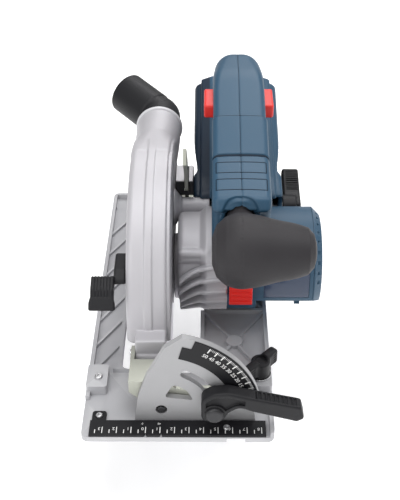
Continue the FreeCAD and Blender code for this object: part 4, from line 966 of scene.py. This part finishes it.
def guard_finger_lever():
    return field_piece("guard_finger_lever", finger_field, 0.5, "black_plastic")


WING = joint_place("guide_screw_turn")


def wing_field(x, y, z):
    turn = math.radians(47.0)
    a = (x - WING[0]) * math.cos(turn) + (y - WING[1]) * math.sin(turn)
    b = (y - WING[1]) * math.cos(turn) - (x - WING[0]) * math.sin(turn)
    radial = length(a, b)
    hub = tube_field(z, (15.3, 27.4), radial, 6.9, 1.0)
    lobes = brick(np.abs(a), b, z, (3.0, -3.6, 17.1), (15.9, 3.6, 29.9), 2.4)
    body = blend_union(hub, lobes, 1.6)
    body = np.maximum(body, -np.maximum(radial - 4.6, 26.6 - z))
    ribs = np.maximum(0.45 - np.abs((z - 18.0) % 2.4 - 1.2), 3.2 - np.abs(b))
    body = np.maximum(body, -np.maximum(np.maximum(ribs, 10.0 - np.abs(a)), 18.5 - z))
    return np.minimum(body, tube_field(z, (9.7, 17.0), radial, 3.0, 0.2))


def guide_wing_screw():
    return field_piece("guide_wing_screw", wing_field, 0.5, "black_plastic")


# ---- scales
def box_verts(low, high, place):
    """A box's mesh arrays; place maps local (a, b, c) in mm to the frame."""
    around = ((low[0], low[1]), (high[0], low[1]), (high[0], high[1]), (low[0], high[1]))
    corners = [(a, b, c) for c in (low[2], high[2]) for a, b in around]
    faces = [(0, 3, 2, 1), (4, 5, 6, 7), (0, 1, 5, 4), (1, 2, 6, 5), (2, 3, 7, 6), (3, 0, 4, 7)]
    return [place(*corner) for corner in corners], faces


def glyph_verts(text, size, depth, place):
    """Raised digits as mesh arrays, centred on the local origin."""
    curve = bpy.data.curves.new("glyph", "FONT")
    curve.body = text
    curve.size = size
    curve.extrude = depth / 2
    curve.align_x = "CENTER"
    curve.align_y = "CENTER"
    curve.resolution_u = 3
    holder = bpy.data.objects.new("glyph", curve)
    mesh = bpy.data.meshes.new_from_object(holder)
    verts = [place(v.co.x, v.co.y, v.co.z + depth / 2) for v in mesh.vertices]
    faces = [tuple(face.vertices) for face in mesh.polygons]
    bpy.data.objects.remove(holder)
    bpy.data.curves.remove(curve)
    bpy.data.meshes.remove(mesh)
    return verts, faces


def marks_mesh(name, parts):
    """One mesh of several parts' (points, faces), its points given in mm."""
    verts, faces = [], []
    for part_verts, part_faces in parts:
        base = len(verts)
        verts += [[c * MM for c in v] for v in part_verts]
        faces += [[base + i for i in face] for face in part_faces]
    mesh = bpy.data.meshes.new(name)
    mesh.from_pydata(verts, [], faces)
    sheet = bmesh.new()
    sheet.from_mesh(mesh)
    bmesh.ops.remove_doubles(sheet, verts=sheet.verts, dist=1e-7)
    bmesh.ops.recalc_face_normals(sheet, faces=sheet.faces)
    sheet.to_mesh(mesh)
    sheet.free()
    return mesh


def ruler_marks():
    """Centimetre scale from the cutting line, read from the rear of the saw."""
    low, high = mm_box("ruler_strip")
    front, top = low[1], high[2]

    def flat(a, b, c):
        return a, b, top + c

    def turned(centre, back):
        return lambda a, b, c: (centre - a, front + back - b, top + c)

    parts = []
    foot = front + 1.9
    for half_cm in range(-7, 17):
        at = 5.0 * half_cm
        tall = 5.6 if half_cm % 2 == 0 else 3.2
        if low[0] + 3 < at < high[0] - 1:
            parts.append(box_verts((at - 0.28, foot, 0.0), (at + 0.28, foot + tall, 0.12), flat))
    for cm in range(-3, 9):
        parts.append(glyph_verts(str(abs(cm)), 3.6, 0.12, turned(10.0 * cm - 2.1, 5.9)))
    for text, centre in (("0", -2.4), ("45", 9.2)):
        parts.append(glyph_verts(text, 2.4, 0.12, turned(centre, 10.6)))
    return add_piece("ruler_marks", marks_mesh("ruler_marks", parts), "base", "white_paint")


ZERO_ANGLE = 9.5
MARK_END = 66.9
DIGIT_RADIUS = 59.6


def bevel_marks():
    """Degree scale on the quadrant, 0 to 50 with digits every 5."""
    face = mm_box("bevel_scale")[0][1]

    def spoke(degrees, start):
        """Places a mark's (across, outward, thickness) on the plate, along the line at degrees."""
        angle = math.radians(ZERO_ANGLE + degrees)
        out, side = (math.cos(angle), math.sin(angle)), (math.sin(angle), -math.cos(angle))

        def place(a, b, c):
            away = b + start
            return BEVEL[0] + out[0] * away + side[0] * a, face - c, BEVEL[2] + out[1] * away + side[1] * a

        return place

    parts = []
    for degrees in range(0, 51, 5):
        parts.append(box_verts((-0.4, 62.8, 0.0), (0.4, MARK_END, 0.12), spoke(degrees, 0.0)))
        parts.append(glyph_verts(str(degrees), 4.0, 0.12, spoke(degrees, DIGIT_RADIUS)))
    for degrees in range(50):
        if degrees % 5:
            parts.append(box_verts((-0.13, 65.2, 0.0), (0.13, MARK_END, 0.1), spoke(degrees, 0.0)))
    return add_piece("bevel_marks", marks_mesh("bevel_marks", parts), "base", "white_paint")


def arc_plate(centre, radii, degrees, span, pieces=48):
    """Mesh arrays of a ring sector standing in the x-z plane, span being its y extent."""
    turn = np.linspace(math.radians(degrees[0]), math.radians(degrees[1]), pieces + 1)
    verts = []
    for radius, y in ((radii[0], span[0]), (radii[1], span[0]), (radii[1], span[1]), (radii[0], span[1])):
        verts.append(np.column_stack([
            centre[0] + radius * np.cos(turn), np.full(len(turn), y), centre[1] + radius * np.sin(turn)]))
    return np.concatenate(verts).tolist(), strip_faces(pieces)


def bevel_band():
    """The black degree plate: a wide inner band and a raised outer strip for the marks."""
    low, high = mm_box("bevel_scale")
    centre = (BEVEL[0], BEVEL[2])
    parts = [
        arc_plate(centre, (50.0, 60.6), (7.0, 75.5), (low[1] + 0.25, high[1])),
        arc_plate(centre, (60.6, 68.3), (7.0, 69.5), (low[1], high[1])),
    ]
    mesh = marks_mesh("bevel_band", parts)
    return add_piece("bevel_scale_piece", mesh, "base", "scale_black", ["bevel_scale"])


def lathe(axis_at, profile, pieces=48):
    """Mesh arrays of a turned part about an axis along y: profile is (y, radius) from front to back."""
    turn = np.linspace(0.0, 2 * math.pi, pieces, endpoint=False)
    verts = []
    for y, radius in profile:
        verts += [(axis_at[0] + radius * math.cos(t), y, axis_at[1] + radius * math.sin(t)) for t in turn]
    last_ring = (len(profile) - 1) * pieces
    faces = [tuple(range(pieces - 1, -1, -1)), tuple(last_ring + k for k in range(pieces))]
    for ring in range(len(profile) - 1):
        for k in range(pieces):
            a, b = ring * pieces + k, ring * pieces + (k + 1) % pieces
            faces.append((a, b, b + pieces, a + pieces))
    return verts, faces


def bevel_pivot_bolts():
    """Low dark heads on the tilt axis, one at each end of the base."""
    low, high = mm_box("bevel_pivot_bolts")
    axis_at = (BEVEL[0], BEVEL[2])
    front, back = low[1] + 2.1, high[1] - 2.1
    shank = 2.3
    front_bolt = [
        (front, 2.2), (front + 0.5, 3.0), (front + 0.7, 3.0), (front + 0.71, shank), (-1.6, shank),
    ]
    rear_bolt = [(251.5, shank), (back - 0.71, shank), (back - 0.7, 4.6), (back - 0.3, 4.6), (back, 3.6)]
    parts = [lathe(axis_at, front_bolt), lathe(axis_at, rear_bolt)]
    node = "bevel_pivot_bolts"
    return add_piece(node + "_piece", marks_mesh("bevel_bolts", parts), BODIES[node], "steel", [node])


def strip_guide_cap():
    """Pale top of the block that the depth strip runs through, one plate on each side of the strip."""
    low, high = mm_box("depth_strip_guide")
    strip_low, strip_high = mm_box("depth_strip")
    gap, thickness = 0.6, 0.7
    spans = ((low[0] + gap, strip_low[0] - gap), (strip_high[0] + gap, high[0] - gap))
    parts = []
    for left, right in spans:
        parts.append(box_verts(
            (left, low[1] + gap, high[2]), (right, high[1] - gap, high[2] + thickness), lambda *spot: spot))
    return add_piece("strip_guide_cap", marks_mesh("strip_guide_cap", parts), "saw_head", "cast_alloy")


# ---- run
studio()
dress_cad_nodes()
for crisp_node, crisp_width in CRISP.items():
    crisp_copy(crisp_node, crisp_width)
for half_node, half_side in (("handle_left_shell", -1), ("handle_right_shell", 1)):
    handle_half(half_node, half_side)
PIECES = (
    front_grip, upper_guard, gear_housing, duct_collar, dust_elbow, bevel_clamp_lever, depth_clamp_lever,
    guard_finger_lever, guide_wing_screw, ruler_marks, bevel_marks, grip_lines, lock_off_bar, bevel_band,
    bevel_pivot_bolts, strip_guide_cap,
)
for make_piece in PIECES:
    make_piece()
